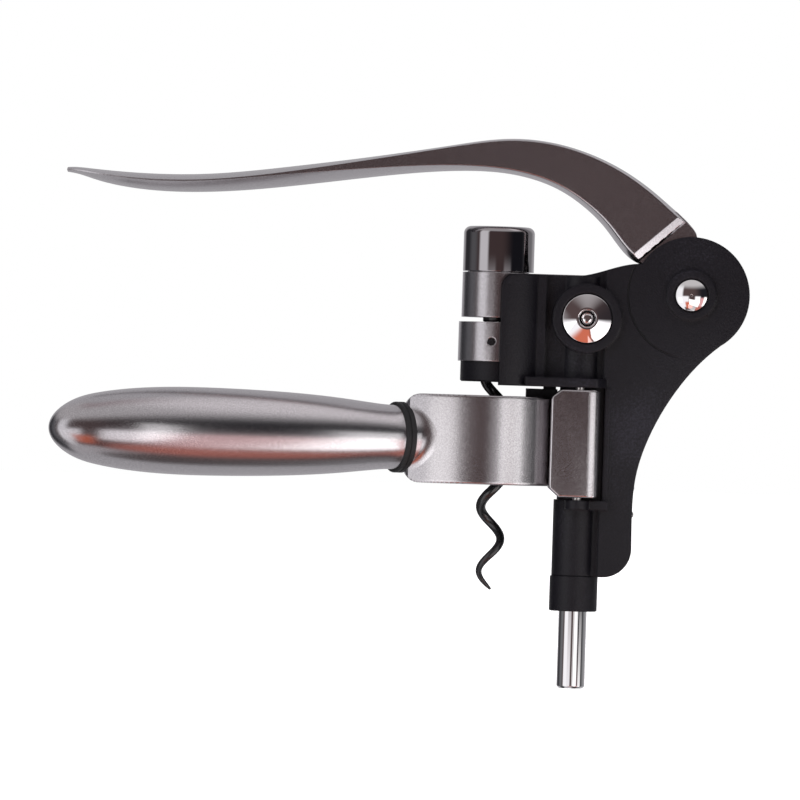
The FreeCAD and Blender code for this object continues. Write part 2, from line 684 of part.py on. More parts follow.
def rack():
    """A bar whose teeth face the gear; a gap is level with the lever's pivot."""
    pitch_x = PIVOT[0] - size("gear_teeth") * size("tooth_module") / 2
    module = size("tooth_module")
    root = pitch_x - size("tooth_root") * module
    tip = pitch_x + size("tooth_tip") * module
    half = (math.pi * module / 2 - size("tooth_backlash")) / 2
    slope = math.tan(math.radians(20))
    at_root = half + (pitch_x - root) * slope
    at_tip = half - (tip - pitch_x) * slope
    bottom = size("rack_bottom_z")
    top = size("rack_top_z")
    step = math.pi * module
    centre = PIVOT[1] + step / 2
    count = int((centre - bottom) / step)
    points = [(size("rack_back_x"), top), (size("rack_back_x"), bottom), (root, bottom)]
    for tooth in range(count, -1, -1):
        z = centre - tooth * step
        if z - at_root < bottom or z + at_root > top:
            continue
        points += [(root, z - at_root), (tip, z - at_tip), (tip, z + at_tip), (root, z + at_root)]
    points.append((root, top))
    bar = side_prism("rack_bar", polygon(points), "gear_half_width")
    hole = cylinder("rack_screw_hole", "screw_radius - 0.2 + seat_clearance", "6.4", "rack_back_x + 2", "0",
                    "rack_top_z - 6.2")
    keep("rack", cut("rack_cut", bar, hole))


def gear_outline():
    """Involute flanks between the base circle and the tip, one tooth pointing straight at the rack."""
    teeth = int(size("gear_teeth"))
    module = size("tooth_module")
    pitch = teeth * module / 2
    base = pitch * math.cos(math.radians(20))
    tip = pitch + size("tooth_tip") * module
    root = pitch - size("tooth_root") * module

    def involute(radius):
        angle = math.acos(min(base / radius, 1.0))
        return math.tan(angle) - angle

    half = (math.pi * module / 2 - size("tooth_backlash")) / 2 / pitch
    flank = [base + (tip - base) * share for share in (0, 0.35, 0.7, 1)]
    points = []
    for tooth in range(teeth):
        middle = math.pi + 2 * math.pi * tooth / teeth
        sides = []
        for radius in flank:
            sides.append((radius, half + involute(pitch) - involute(radius)))
        low = [(root, sides[0][1] + 0.012)] + sides
        for radius, offset in low:
            points.append((PIVOT[0] + radius * math.cos(middle - offset),
                           PIVOT[1] + radius * math.sin(middle - offset)))
        for radius, offset in reversed(low):
            points.append((PIVOT[0] + radius * math.cos(middle + offset),
                           PIVOT[1] + radius * math.sin(middle + offset)))
    return polygon(points)


def pivot_bore(label, radius):
    return cylinder(label, radius, "2 * " + REACH, "pivot_x", "-" + REACH, "pivot_z", "y")


def dowel_holes(label, radius):
    holes = []
    for number, angle in enumerate((10, 130, 250)):
        x = f"pivot_x + dowel_circle_radius * cos({angle})"
        z = f"pivot_z + dowel_circle_radius * sin({angle})"
        holes.append(cylinder(f"{label}_{number}", radius, "2 * hub_half_width", x, "-hub_half_width", z, "y"))
    return holes


def hub_parts():
    gear = side_prism("gear_blank", gear_outline(), "gear_half_width")
    keep("hub_gear", cut("hub_gear_cut", gear, pivot_bore("gear_bore", "pivot_pin_radius + running_clearance"),
                         *dowel_holes("gear_dowel_hole", "dowel_radius + seat_clearance")))
    keep("gear_dowels", group("dowels", *dowel_holes("gear_dowel", "dowel_radius")))
    keep("pivot_pin", cylinder("pivot_pin_rod", "pivot_pin_radius", "2 * pivot_boss_face - 1.2", "pivot_x",
                               "-pivot_boss_face + 0.6", "pivot_z", "y"))


# The lever's side view, from tip to hub: outer edge, inner edge and half width as a share of the blade's.
LEVER_STATIONS = (
    ((-128.6, 78.0), (-128.2, 76.2), 0.34),
    ((-122.9, 77.7), (-122.3, 74.6), 0.58),
    ((-110.1, 76.9), (-109.8, 72.2), 0.80),
    ((-89.3, 77.1), (-88.9, 71.7), 0.95),
    ((-64.1, 80.0), (-63.3, 74.2), 1.0),
    ((-39.0, 83.8), (-38.1, 77.8), 0.97),
    ((-13.9, 88.2), (-12.9, 80.4), 0.88),
    ((2.9, 90.5), (2.2, 80.0), 0.80),
    ((19.8, 88.7), (14.6, 76.9), 0.74),
    ((36.0, 82.4), (24.4, 71.3), 0.70),
    ((46.8, 75.2), (32.0, 64.2), 0.68),
    ((55.2, 67.4), (38.2, 56.9), 0.67),
    ((61.4, 60.2), (46.4, 53.6), 0.67),
)


def lever_section(outer, inner, half_width, squareness):
    """A closed curve round one station: a superellipse, flatter-sided as squareness grows."""
    middle = V((outer[0] + inner[0]) / 2, 0, (outer[1] + inner[1]) / 2)
    thick = V(outer[0] - inner[0], 0, outer[1] - inner[1]) * 0.5
    points = []
    sides = 20
    for index in range(sides):
        turn = 2 * math.pi * (index + 0.5) / sides
        across = math.copysign(abs(math.cos(turn)) ** (2 / squareness), math.cos(turn))
        up = math.copysign(abs(math.sin(turn)) ** (2 / squareness), math.sin(turn))
        points.append(middle + thick * up + V(0, half_width * across, 0))
    curve = Part.BSplineCurve()
    curve.interpolate(points, PeriodicFlag=True)
    return Part.Wire(curve.toShape())


def lever():
    """A wide thin blade that deepens to the shoulder, and a narrower root and hub between the ears."""
    wide = size("lever_blade_half_width")
    sections = []
    tip_x = size("lever_tip_x")
    tip_z = size("lever_tip_z")
    sections.append(lever_section((tip_x, tip_z + 0.45), (tip_x + 0.1, tip_z - 0.45), 1.3, 2))
    last = len(LEVER_STATIONS) - 1
    for number, (outer, inner, share) in enumerate(LEVER_STATIONS):
        squareness = 2 if number < 5 else 2 + 0.5 * (number - 4)
        sections.append(lever_section(outer, inner, wide * share, squareness))
    blade = doc.addObject("Part::Feature", "lever_blade")
    blade.Shape = Part.makeLoft(sections, True, False)
    shoulder = cylinder("lever_shoulder", "shoulder_radius", "2 * " + REACH, "pivot_x", "-" + REACH, "pivot_z", "y")
    relief = side_prism("lever_relief", polygon([(42.1, 55.2), (62.5, 73.2), (84.0, 62.0), (62.0, 36.0)]), REACH)
    arm = cut("lever_wide", blade, shoulder, relief)
    centre = PIVOT
    root = side_prism("lever_root", polygon([
        (59.6, 62.9), (57.4, 65.2), (55.4, 67.1), (51.5, 70.4), (40.6, 58.0), (42.8, 54.6), (centre[0] - 12, centre[1] + 4),
        (centre[0], centre[1])]), "hub_half_width")
    hub = cylinder("lever_hub", "hub_radius", "2 * hub_half_width", "pivot_x", "-hub_half_width", "pivot_z", "y")
    gear_slot = cylinder("lever_gear_slot", "ear_radius + 0.2", "2 * (gear_half_width + running_clearance)",
                         "pivot_x", "-gear_half_width - running_clearance", "pivot_z", "y")
    narrow = cut("lever_narrow", fuse("lever_narrow_whole", root, hub), gear_slot)
    keep("lever_arm", cut("lever_arm_cut", fuse("lever_arm_whole", arm, narrow),
                          pivot_bore("lever_bore", "pivot_pin_radius + running_clearance"),
                          *dowel_holes("lever_dowel_hole", "dowel_radius + seat_clearance")))


def caps():
    """Domed caps on the pivot pin, dished caps with a pin over the column, the same on both sides."""
    face = "pivot_boss_face - 0.6"
    profile = (("0", face), ("pivot_cap_radius", face), ("pivot_cap_radius", f"{face} + 0.5"),
               ("0.8 * pivot_cap_radius", f"{face} + 0.5 + 0.55 * pivot_cap_dome"),
               ("0.45 * pivot_cap_radius", f"{face} + 0.5 + 0.9 * pivot_cap_dome"),
               ("0", f"{face} + 0.5 + pivot_cap_dome"))
    dish_seat = "dish_boss_face - 0.8"
    dish = (("dish_hole_radius", dish_seat), ("dish_cap_radius", dish_seat),
            ("dish_cap_radius", f"{dish_seat} + 0.5"),
            ("dish_hole_radius + 0.8", f"{dish_seat} + dish_cap_rise"),
            ("dish_hole_radius", f"{dish_seat} + dish_cap_rise - 0.3"))
    pin = (("0", "rod_radius + 0.75"), ("dish_pin_radius", "rod_radius + 0.75"),
           ("dish_pin_radius", f"{dish_seat} + 0.5"), ("0.6 * dish_pin_radius", f"{dish_seat} + 1.15"),
           ("0", f"{dish_seat} + 1.4"))
    for side, direction in (("near", 90), ("far", -90)):
        for name, outline, x, z in (("pivot_cap", profile, "pivot_x", "pivot_z"),
                                    ("dish_cap", dish, "dish_x", "dish_z"),
                                    ("dish_pin", pin, "dish_x", "dish_z")):
            body = turned(f"{side}_{name}_body", outline, x=x, z=z)
            body.Placement = FreeCAD.Placement(V(), FreeCAD.Rotation(V(1, 0, 0), direction))
            place(body, x, "0", z)
            keep(f"{side}_{name}", body)


def rack_stop():
    """A block in the leg's channel below the rack, held by two screws from behind."""
    stop = block("rack_stop_block", ("rack_back_x - sliding_clearance + 0.01", "rack_back_x + 5.6"),
                 ("-gear_half_width - sliding_clearance + 0.02", "gear_half_width + sliding_clearance - 0.02"),
                 ("rack_stop_bottom_z + 0.02", "rack_stop_top_z"))
    holes = []
    screws = []
    for number, z in enumerate(("rear_screw_upper_z", "rear_screw_lower_z")):
        holes.append(cylinder(f"rack_stop_hole_{number}", "rear_screw_radius + seat_clearance", "12",
                              "rack_back_x - 2", "0", z, "x"))
        shank = cylinder(f"rear_shank_{number}", "rear_screw_radius", "9.1", "rack_back_x - 3.5", "0", z, "x")
        head = doc.addObject("Part::Sphere", f"rear_head_ball_{number}")
        head.setExpression("Radius", bound("rear_head_radius"))
        place(head, "rack_back_x + 5.6", "0", z)
        dome = common(f"rear_dome_{number}", head,
                      block(f"rear_head_side_{number}", ("rack_back_x + 5.6", "rack_back_x + 9"), ("-3", "3"),
                            (f"{z} - 3", f"{z} + 3")))
        screws.append(fuse(f"rear_screw_{number}", shank, dome))
    keep("rack_stop", cut("rack_stop_cut", stop, *holes))
    keep("rear_screws", group("rear_screw_pair", *screws))


def lower_bush():
    bore = "rod_radius + running_clearance"
    low = "leg_bottom_z - bush_height"
    keep("lower_guide_bush", turned("lower_guide_bush_body", (
        (bore, low), ("bush_radius - 0.3", low), ("bush_radius", f"{low} + 0.3"), ("bush_radius", "leg_bottom_z"),
        ("bush_spigot_radius", "leg_bottom_z"), ("bush_spigot_radius", "leg_bottom_z + bush_spigot_height - 0.1"),
        (bore, "leg_bottom_z + bush_spigot_height - 0.1")), x="rod_axis_x"))


def trigger():
    pad = block("trigger_pad", ("trigger_left_x", "trigger_right_x"), ("-trigger_half_width", "trigger_half_width"),
                ("trigger_bottom_z", "trigger_top_z"))
    stem = block("trigger_stem", ("stem_x - stem_half_width", "stem_x + stem_half_width"),
                 ("-stem_half_width", "stem_half_width"), ("trigger_top_z - 1", "stem_top_z"))
    keep("bottle_trigger", fuse("trigger_whole", pad, stem))
    coil = cut("spring_tube",
               cylinder("spring_outer", "spring_radius", "spring_pocket_top_z - stem_top_z", "stem_x", "0",
                        "stem_top_z"),
               cylinder("spring_bore", "spring_bore_radius", REACH, "stem_x", "0", "trigger_top_z"))
    keep("trigger_spring", coil)


def grip_direction():
    splay = math.radians(size("grip_splay"))
    return V(-math.cos(splay), -math.sin(splay), 0)


def along_grip(distance):
    """A placement on the grip's axis whose Z runs out along the grip."""
    start = V(size("grip_root_x"), -size("grip_root_y"), 0)
    return FreeCAD.Placement(start + grip_direction() * distance, FreeCAD.Rotation(V(0, 0, 1), grip_direction()))


def grip_profile():
    """Radius of the grip against its place along it: a slim egg with its belly past the middle."""
    length = size("grip_length")
    root = size("grip_root_radius")
    belly = size("grip_belly_radius")
    place_of_belly = size("grip_belly_place") * length
    return [
        V(root, 0, 0),
        V(root + 0.52 * (belly - root), 0, 0.17 * length),
        V(root + 0.86 * (belly - root), 0, 0.34 * length),
        V(belly, 0, place_of_belly),
        V(0.965 * belly, 0, 0.72 * length),
        V(0.83 * belly, 0, 0.855 * length),
        V(0.56 * belly, 0, 0.95 * length),
        V(0, 0, length),
    ]


def ring_wall():
    """A half ring's outside: a tight arc on the right, a flatter one on the left, round corners at the grip's end."""
    end = size("jaw_end_x")
    right = size("ring_right_x")
    half = size("ring_half_height")
    corner = size("jaw_end_corner")
    lean = corner * (1 - math.sqrt(0.5))
    outline = [
        Part.LineSegment(flat(right, half), flat(right, -half)),
        Part.LineSegment(flat(right, -half), flat(end + corner, -half)),
        Part.Arc(flat(end + corner, -half), flat(end + lean, -half + lean), flat(end, -half + corner)),
        Part.LineSegment(flat(end, -half + corner), flat(end, half - corner)),
        Part.Arc(flat(end, half - corner), flat(end + lean, half - lean), flat(end + corner, half)),
        Part.LineSegment(flat(end + corner, half), flat(right, half)),
    ]
    height = f"2 * {REACH}"
    arcs = []
    for label, radius, side in (("ring_right_arc", "ring_right_radius", ("ring_face_x", REACH)),
                                ("ring_left_arc", "ring_left_radius", (f"-{REACH}", "ring_face_x"))):
        barrel = cylinder(label, radius, height, "ring_face_x", f"{radius} - ring_face_y", f"-{REACH}")
        arcs.append(common(label + "_part", barrel,
                           block(label + "_side", side, (f"-{REACH}", "0"), (f"-{REACH}", REACH))))
    edge_x = "jaw_end_x + jaw_end_edge"
    edge_y = "ring_left_radius - ring_face_y - sqrt(ring_left_radius ^ 2 - (jaw_end_x - ring_face_x) ^ 2)"
    edge_y = f"{edge_y} + jaw_end_edge + 1"
    waste = cut("jaw_end_waste", block("jaw_end_square", (f"-{REACH}", edge_x), (f"-{REACH}", edge_y), (f"-{REACH}", REACH)),
                cylinder("jaw_end_round", "jaw_end_edge", height, edge_x, edge_y, f"-{REACH}"))
    return cut("ring_outside", common("ring_blank", side_prism("ring_side", outline, REACH), fuse("ring_arcs", *arcs)),
               waste)


def jaw_parts():
    """The near jaw: half ring, hinge block, stub and tang; then its pad, band and grip. The far side mirrors it."""
    half_height = "ring_half_height"
    ring = cut("ring_wall", ring_wall(), cylinder("ring_inside", "ring_inner_radius", REACH, z=f"-{half_height} - 1"))
    left = block("ring_left_part", ("-60", "0"), ("-60", "-jaw_half_gap"), ("-60", "60"))
    right = block("ring_right_part", ("0", "60"), ("-60", "-block_inner"), ("-60", "60"))
    keep_side = fuse("ring_near_side", left, right)
    low = size("block_bottom_z")
    high = size("block_top_z")
    chamfer = size("block_chamfer")
    left_x = size("block_left_x")
    right_x = size("block_right_x")
    outline = polygon([(left_x, low + chamfer), (left_x, high - 0.9 * chamfer), (left_x + chamfer + 0.4, high),
                       (right_x, high), (right_x, low), (left_x + chamfer + 0.4, low)])
    hinge = side_prism("hinge_block_prism", outline, REACH)
    band_y = block("hinge_block_band", ("0", "60"), ("-block_outer", "-block_inner"), ("-60", "60"))
    hinge_block = common("hinge_block", hinge, band_y)
    stub = doc.addObject("Part::Feature", "jaw_stub")
    inner = along_grip(-size("stub_length"))
    profile = [V(0, 0, 0), V(size("ring_half_height") - 0.2, 0, 0), V(size("band_radius") + 0.9, 0, 6),
               V(size("band_radius") - 0.2, 0, size("stub_length")), V(0, 0, size("stub_length"))]
    edges = [Part.LineSegment(profile[0], profile[1]).toShape(), smooth(profile[1:4]).toShape(),
             Part.LineSegment(profile[3], profile[4]).toShape(), Part.LineSegment(profile[4], profile[0]).toShape()]
    face = Part.Face(Part.Wire(edges))
    stub.Shape = face.revolve(V(0, 0, 0), V(0, 0, 1), 360)
    stub.Placement = inner
    stub_outside = cut("stub_outside", stub,
                       cylinder("stub_ring_space", "ring_inner_radius + 1", REACH, z="-30"),
                       block("stub_far_side", ("-60", "60"), ("-jaw_half_gap", "60"), ("-60", "60")),
                       block("stub_above", ("-60", "60"), ("-60", "60"), (half_height, "60")),
                       block("stub_below", ("-60", "60"), ("-60", "60"), ("-60", f"-{half_height}")))
    tang = doc.addObject("Part::Feature", "jaw_tang")
    tang.Shape = Part.makeCylinder(size("tang_radius"), size("tang_length") + 3)
    tang.Placement = along_grip(-3)
    bore = cylinder("jaw_pin_bore", "hinge_pin_radius + running_clearance", REACH, "rod_axis_x", "-hinge_y", "-30")
    neck_space = cylinder("neck_space", "ring_inner_radius", REACH, z="-30")
    jaw = cut("near_jaw_cut",
              fuse("near_jaw_whole", common("near_ring", ring, keep_side), hinge_block, stub_outside, tang),
              bore, neck_space)
    keep("near_jaw", jaw)
    keep("far_jaw", mirror("far_jaw_mirror", jaw))

    pad_ring = cut("pad_wall",
                   cylinder("pad_outside", "ring_inner_radius", "2 * pad_half_height", z="-pad_half_height"),
                   cylinder("pad_inside", "ring_inner_radius - pad_thickness", REACH, z="-pad_half_height - 1"))
    pad = common("near_pad_part", pad_ring,
                 block("pad_side", ("-13.6", "13.2"), ("-60", "-block_inner"), ("-60", "60")))
    keep("near_jaw_pad", pad)
    keep("far_jaw_pad", mirror("far_pad_mirror", pad))

    band = doc.addObject("Part::Feature", "near_band_ring")
    thickness = size("band_thickness")
    hole = Part.makeCylinder(size("tang_radius") + size("seat_clearance"), thickness)
    band.Shape = Part.makeCylinder(size("band_radius"), thickness).cut(hole)
    band.Placement = along_grip(0)
    keep("near_grip_band", band)
    keep("far_grip_band", mirror("far_band_mirror", band))

    grip = doc.addObject("Part::Feature", "near_grip_solid")
    profile = grip_profile()
    centre_line = Part.LineSegment(profile[-1], V(0, 0, 0)).toShape()
    root_line = Part.LineSegment(V(0, 0, 0), profile[0]).toShape()
    curve = Part.BSplineCurve()
    curve.interpolate(profile, InitialTangent=V(0.10, 0, 1), FinalTangent=V(-1, 0, 0))
    solid = Part.Face(Part.Wire([root_line, curve.toShape(), centre_line])).revolve(V(), V(0, 0, 1), 360)
    tang_bore = Part.makeCylinder(size("tang_radius") + size("seat_clearance"), size("tang_length") + 0.5 - thickness)
    grip.Shape = solid.cut(tang_bore)
    grip.Placement = along_grip(thickness)
    keep("near_grip", grip)
    keep("far_grip", mirror("far_grip_mirror", grip))


def hinge_pins():
    pins = []
    low = "slot_bottom_z - lug_height + 0.2"
    for number, y in enumerate(("-hinge_y", "hinge_y")):
        pins.append(cylinder(f"hinge_pin_{number}", "hinge_pin_radius",
                             f"flange_bottom_z + flange_height - 0.7 - ({low})", "rod_axis_x", y, low))
    keep("hinge_pins", group("hinge_pin_pair", *pins))


def main():
    body_shells()
    nut_parts()
    worm()
    carriage()
    rack()
    hub_parts()
    lever()
    caps()
    rack_stop()
    lower_bush()
    trigger()
    jaw_parts()
    hinge_pins()
    doc.recompute()
    for item in doc.Objects:
        states = set(item.State)
        if states & {"Invalid", "Error"}:
            raise RuntimeError(f"{item.Label}: {sorted(states)}")
    for label, part in NODES.items():
        if part.Shape.isNull() or not part.Shape.isValid():
            raise RuntimeError(f"{label} has no valid shape")
    os.makedirs("parts", exist_ok=True)
    for label, part in NODES.items():
        part.Shape.exportStep(f"parts/{label}.step")
        box = part.Shape.BoundBox
        print(f"{label:18s} solids {len(part.Shape.Solids)} volume {part.Shape.Volume:9.1f}"
              f"  x {box.XMin:7.2f} {box.XMax:7.2f}  y {box.YMin:7.2f} {box.YMax:7.2f}"
              f"  z {box.ZMin:7.2f} {box.ZMax:7.2f}")


main()
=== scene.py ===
import math
import bmesh
import bpy
import numpy as np
from mathutils import Matrix, Vector


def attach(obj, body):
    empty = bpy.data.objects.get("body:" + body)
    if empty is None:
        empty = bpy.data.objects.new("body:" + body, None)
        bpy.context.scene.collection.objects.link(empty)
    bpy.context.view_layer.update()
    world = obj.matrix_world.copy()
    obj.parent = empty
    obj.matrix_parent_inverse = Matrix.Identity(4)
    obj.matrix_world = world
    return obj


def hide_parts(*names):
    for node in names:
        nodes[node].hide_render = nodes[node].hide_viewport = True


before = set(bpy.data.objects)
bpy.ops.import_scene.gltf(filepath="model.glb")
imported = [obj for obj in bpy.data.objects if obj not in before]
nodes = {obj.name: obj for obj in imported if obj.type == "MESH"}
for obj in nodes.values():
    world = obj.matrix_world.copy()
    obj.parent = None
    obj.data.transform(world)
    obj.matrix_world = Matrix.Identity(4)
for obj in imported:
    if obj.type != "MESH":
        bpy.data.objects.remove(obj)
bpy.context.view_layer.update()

# Lengths are in millimetres and in the part's own frame, except the camera's and the lamps', in metres.
MM = 0.001
PIVOT = np.array([57.9, 0.0, 45.1])
DISH = np.array([26.9, 0.0, 37.2])
ROD_X = 25.5
GRIP_SPLAY = math.radians(24.0)
GRIP_ROOT = np.array([-27.5, -12.0, 0.0])
RING_BORE = 15.5
RING_HALF = 13.3
RING_RIGHT = 17.0
RING_END = -26.6
RING_CORNER = 4.5
RING_BACK = -2.1
FACE_X, FACE_Y = -4.5, 21.5
FACE_BEND_RIGHT, FACE_BEND_LEFT = 24.0, 50.0
HINGE_BACK = -6.7
CHEEK_RADIUS, CHEEK_BORE = 15.0, 3.35


class Flow:
    """A value or colour on its way through a material's nodes."""

    def __init__(self, finish, socket):
        self.finish = finish
        self.socket = socket

    def joined(self, operation, first, second):
        return self.finish.node("ShaderNodeMath", {"operation": operation}, {0: first, 1: second})

    def __add__(self, other):
        return self.joined("ADD", self, other)

    def __mul__(self, other):
        return self.joined("MULTIPLY", self, other)

    def __rsub__(self, other):
        return self.joined("SUBTRACT", other, self)

    __radd__ = __add__

    def clear_step(self, low, high):
        """0 below low, 1 above high, and a smooth rise between."""
        return self.finish.node("ShaderNodeMapRange", {"interpolation_type": "SMOOTHSTEP"},
                                {0: self, 1: low, 2: high, 3: 0.0, 4: 1.0})

    def between(self, low, high, soft):
        """1 inside the two limits, with edges that are soft over the given width."""
        return self.clear_step(low - soft, low + soft) * (1 - self.clear_step(high - soft, high + soft))


class Finish:
    """A node tree in the making, for a material or the studio's light."""

    def __init__(self, tree):
        self.tree = tree
        self.tree.nodes.clear()

    def node(self, kind, settings=None, values=None, result=0):
        """Any node: its settings first, then the values or links of its sockets."""
        item = self.tree.nodes.new(kind)
        for key, value in (settings or {}).items():
            setattr(item, key, value)
        for key, value in (values or {}).items():
            if isinstance(value, Flow):
                self.tree.links.new(value.socket, item.inputs[key])
            else:
                item.inputs[key].default_value = value
        return Flow(self, item.outputs[result]) if item.outputs else None

    def blend(self, factor, low, high):
        """A colour between two, by a factor."""
        low = low if isinstance(low, Flow) else (*low, 1.0)
        high = high if isinstance(high, Flow) else (*high, 1.0)
        return self.node("ShaderNodeMix", {"data_type": "RGBA"}, {0: factor, 6: low, 7: high}, 2)

    def place(self):
        """The point's place on the object, in metres."""
        return self.node("ShaderNodeTexCoord", result=3)

    def noise(self, scale, detail, roughness):
        return self.node("ShaderNodeTexNoise", None,
                         {"Vector": self.place(), "Scale": scale, "Detail": detail, "Roughness": roughness})

    def cells(self, scale):
        return self.node("ShaderNodeTexVoronoi", None, {"Vector": self.place(), "Scale": scale})

    def bump(self, height, depth, normal=None):
        """A relief of the given depth in metres."""
        values = {"Strength": 1.0, "Distance": depth, "Height": height}
        if normal:
            values["Normal"] = normal
        return self.node("ShaderNodeBump", None, values)

    def soft_edge(self, radius):
        """A normal that turns gently over each edge, as if it had the given radius in metres."""
        return self.node("ShaderNodeBevel", {"samples": 6}, {"Radius": radius})


def material(name, make):
    """A material whose shader's sockets come from make(finish)."""
    made = bpy.data.materials.new(name)
    made.use_nodes = True
    finish = Finish(made.node_tree)
    shader = finish.node("ShaderNodeBsdfPrincipled", None, make(finish))
    finish.node("ShaderNodeOutputMaterial", None, {"Surface": shader})
    return made


def satin_metal(edge):
    """Pearl-plated casting: a fine satin speckle, faint handling marks and, where asked for, soft edges."""
    def make(f):
        speckle = f.noise(2600.0, 2.0, 0.6)
        cloud = f.noise(26.0, 3.0, 0.5)
        marks = f.noise(140.0, 5.0, 0.6).clear_step(0.62, 0.76)
        normal = f.soft_edge(edge) if edge else None
        silver = f.blend(speckle.clear_step(0.35, 0.7), (0.51, 0.492, 0.505), (0.62, 0.600, 0.616))
        return {"Base Color": silver,
                "Metallic": 1.0,
                "Roughness": 0.19 + speckle * 0.08 + cloud * 0.03 + marks * 0.008,
                "Normal": f.bump(speckle + cloud * 0.2, 0.000006, normal)}
    return make


def plating(low, high):
    """Mirror plating, with the faint waviness and hair marks of polished metal."""
    def make(f):
        wave = f.noise(60.0, 2.0, 0.4)
        hair = f.noise(900.0, 4.0, 0.7).clear_step(0.6, 0.8)
        return {"Base Color": f.blend(wave, low, high),
                "Metallic": 1.0,
                "Roughness": 0.035 + hair * 0.03,
                "Normal": f.bump(wave, 0.00002)}
    return make


def moulding(edge, eye=False):
    """Black moulded nylon: a spark-eroded grain that scatters small lights, and edges rounded by the mould.
    The shells also have a fine sunk line, a circle about the pivot on the side towards the worm, its colour
    darkened by painted shade."""
    def make(f):
        grain = f.noise(1500.0, 3.0, 0.62)
        pit = f.cells(2600.0)
        cloud = f.noise(35.0, 3.0, 0.5)
        rise = grain * 0.7 + pit * 0.45
        worn = (grain * 0.5 + cloud * 0.5).clear_step(0.5, 0.72)
        normal = f.soft_edge(edge)
        colour = f.blend(worn, (0.0034, 0.0028, 0.0056), (0.0150, 0.0132, 0.0215))
        if eye:
            flat = {0: f.place(), 1: (1 / MM, 0.0, 1 / MM)}
            way = f.node("ShaderNodeVectorMath", {"operation": "MULTIPLY"}, flat)
            away = f.node("ShaderNodeVectorMath", {"operation": "DISTANCE"}, {0: way, 1: tuple(PIVOT)}, 1)
            across = f.node("ShaderNodeSeparateXYZ", None, {0: way})
            line = away.between(18.7, 19.15, 0.12) * (1 - across.clear_step(50.0, 56.0))
            normal = f.bump(1 - line, 0.0003, normal)
            # Painted shade: the sunk line's colour is darkened, as shade in the groove would darken it.
            colour = f.blend(line * 0.8, colour, (0.0015, 0.0014, 0.002))
        return {"Base Color": colour,
                "Roughness": 0.36 + grain * 0.16 + cloud * 0.08,
                "Specular IOR Level": 0.36,
                "Normal": f.bump(rise, 0.00008, normal)}
    return make


def rubber(f):
    """Matte black rubber with a fine even tooth."""
    tooth = f.cells(1800.0)
    dust = f.noise(240.0, 4.0, 0.6).clear_step(0.55, 0.8)
    return {"Base Color": f.blend(dust, (0.008, 0.008, 0.009), (0.022, 0.021, 0.020)),
            "Roughness": 0.62 + dust * 0.12,
            "Normal": f.bump(tooth, 0.00005)}


def coated_wire(f):
    """Low-friction black coating on the worm: glossy, with a slight orange peel."""
    peel = f.noise(700.0, 2.0, 0.5)
    rub = f.noise(90.0, 4.0, 0.6).clear_step(0.58, 0.75)
    return {"Base Color": f.blend(rub, (0.010, 0.010, 0.011), (0.028, 0.027, 0.026)),
            "Roughness": 0.16 + peel * 0.08 + rub * 0.1,
            "Specular IOR Level": 0.7,
            "Normal": f.bump(peel, 0.00002)}


def plated(f):
    """Zinc-plated small parts: pale, lightly turned."""
    turn = f.noise(1400.0, 3.0, 0.6)
    patch = f.noise(150.0, 2.0, 0.5)
    return {"Base Color": f.blend(patch, (0.46, 0.44, 0.43), (0.62, 0.60, 0.59)),
            "Metallic": 1.0,
            "Roughness": 0.22 + turn * 0.14,
            "Normal": f.bump(turn, 0.00001)}


def cut_steel(f):
    """Machined steel with a thin film of grease in scattered patches."""
    tool = f.noise(1100.0, 4.0, 0.65)
    grease = f.noise(110.0, 3.0, 0.6).clear_step(0.5, 0.7)
    return {"Base Color": f.blend(grease, (0.30, 0.29, 0.28), (0.13, 0.12, 0.11)),
            "Metallic": 1.0,
            "Roughness": 0.28 + tool * 0.15,
            "Normal": f.bump(tool, 0.00003)}


def bearing_polymer(f):
    """Dark bearing polymer of the worm's nut."""
    mottle = f.noise(500.0, 4.0, 0.6)
    return {"Base Color": f.blend(mottle, (0.05, 0.05, 0.052), (0.085, 0.084, 0.082)),
            "Roughness": 0.5 + mottle * 0.15,
            "Normal": f.bump(mottle, 0.00004)}


def paper(f):
    """The floor's pale sheet."""
    tooth = f.noise(60.0, 3.0, 0.5)
    return {"Base Color": f.blend(tooth, (0.95, 0.95, 0.95), (0.97, 0.97, 0.97)),
            "Roughness": 0.9,
            "Specular IOR Level": 0.2,
            "Emission Color": (1.0, 1.0, 1.0, 1.0),
            "Emission Strength": 0.8}


SATIN = material("satin_silver", satin_metal(0.0005))
SATIN_SMOOTH = material("satin_silver_curved", satin_metal(None))
CHROME = material("chrome", plating((0.86, 0.85, 0.86), (0.93, 0.92, 0.92)))
DARK_CHROME = material("dark_chrome", plating((0.42, 0.40, 0.41), (0.50, 0.48, 0.49)))
BLACK = material("black_moulding", moulding(0.0009, eye=True))
BLACK_SMALL = material("black_moulding_small", moulding(0.0003))
RUBBER = material("black_rubber", rubber)
WIRE = material("black_coated_steel", coated_wire)
PLATED = material("plated_steel", plated)
STEEL = material("gear_steel", cut_steel)
POLYMER = material("nut_polymer", bearing_polymer)


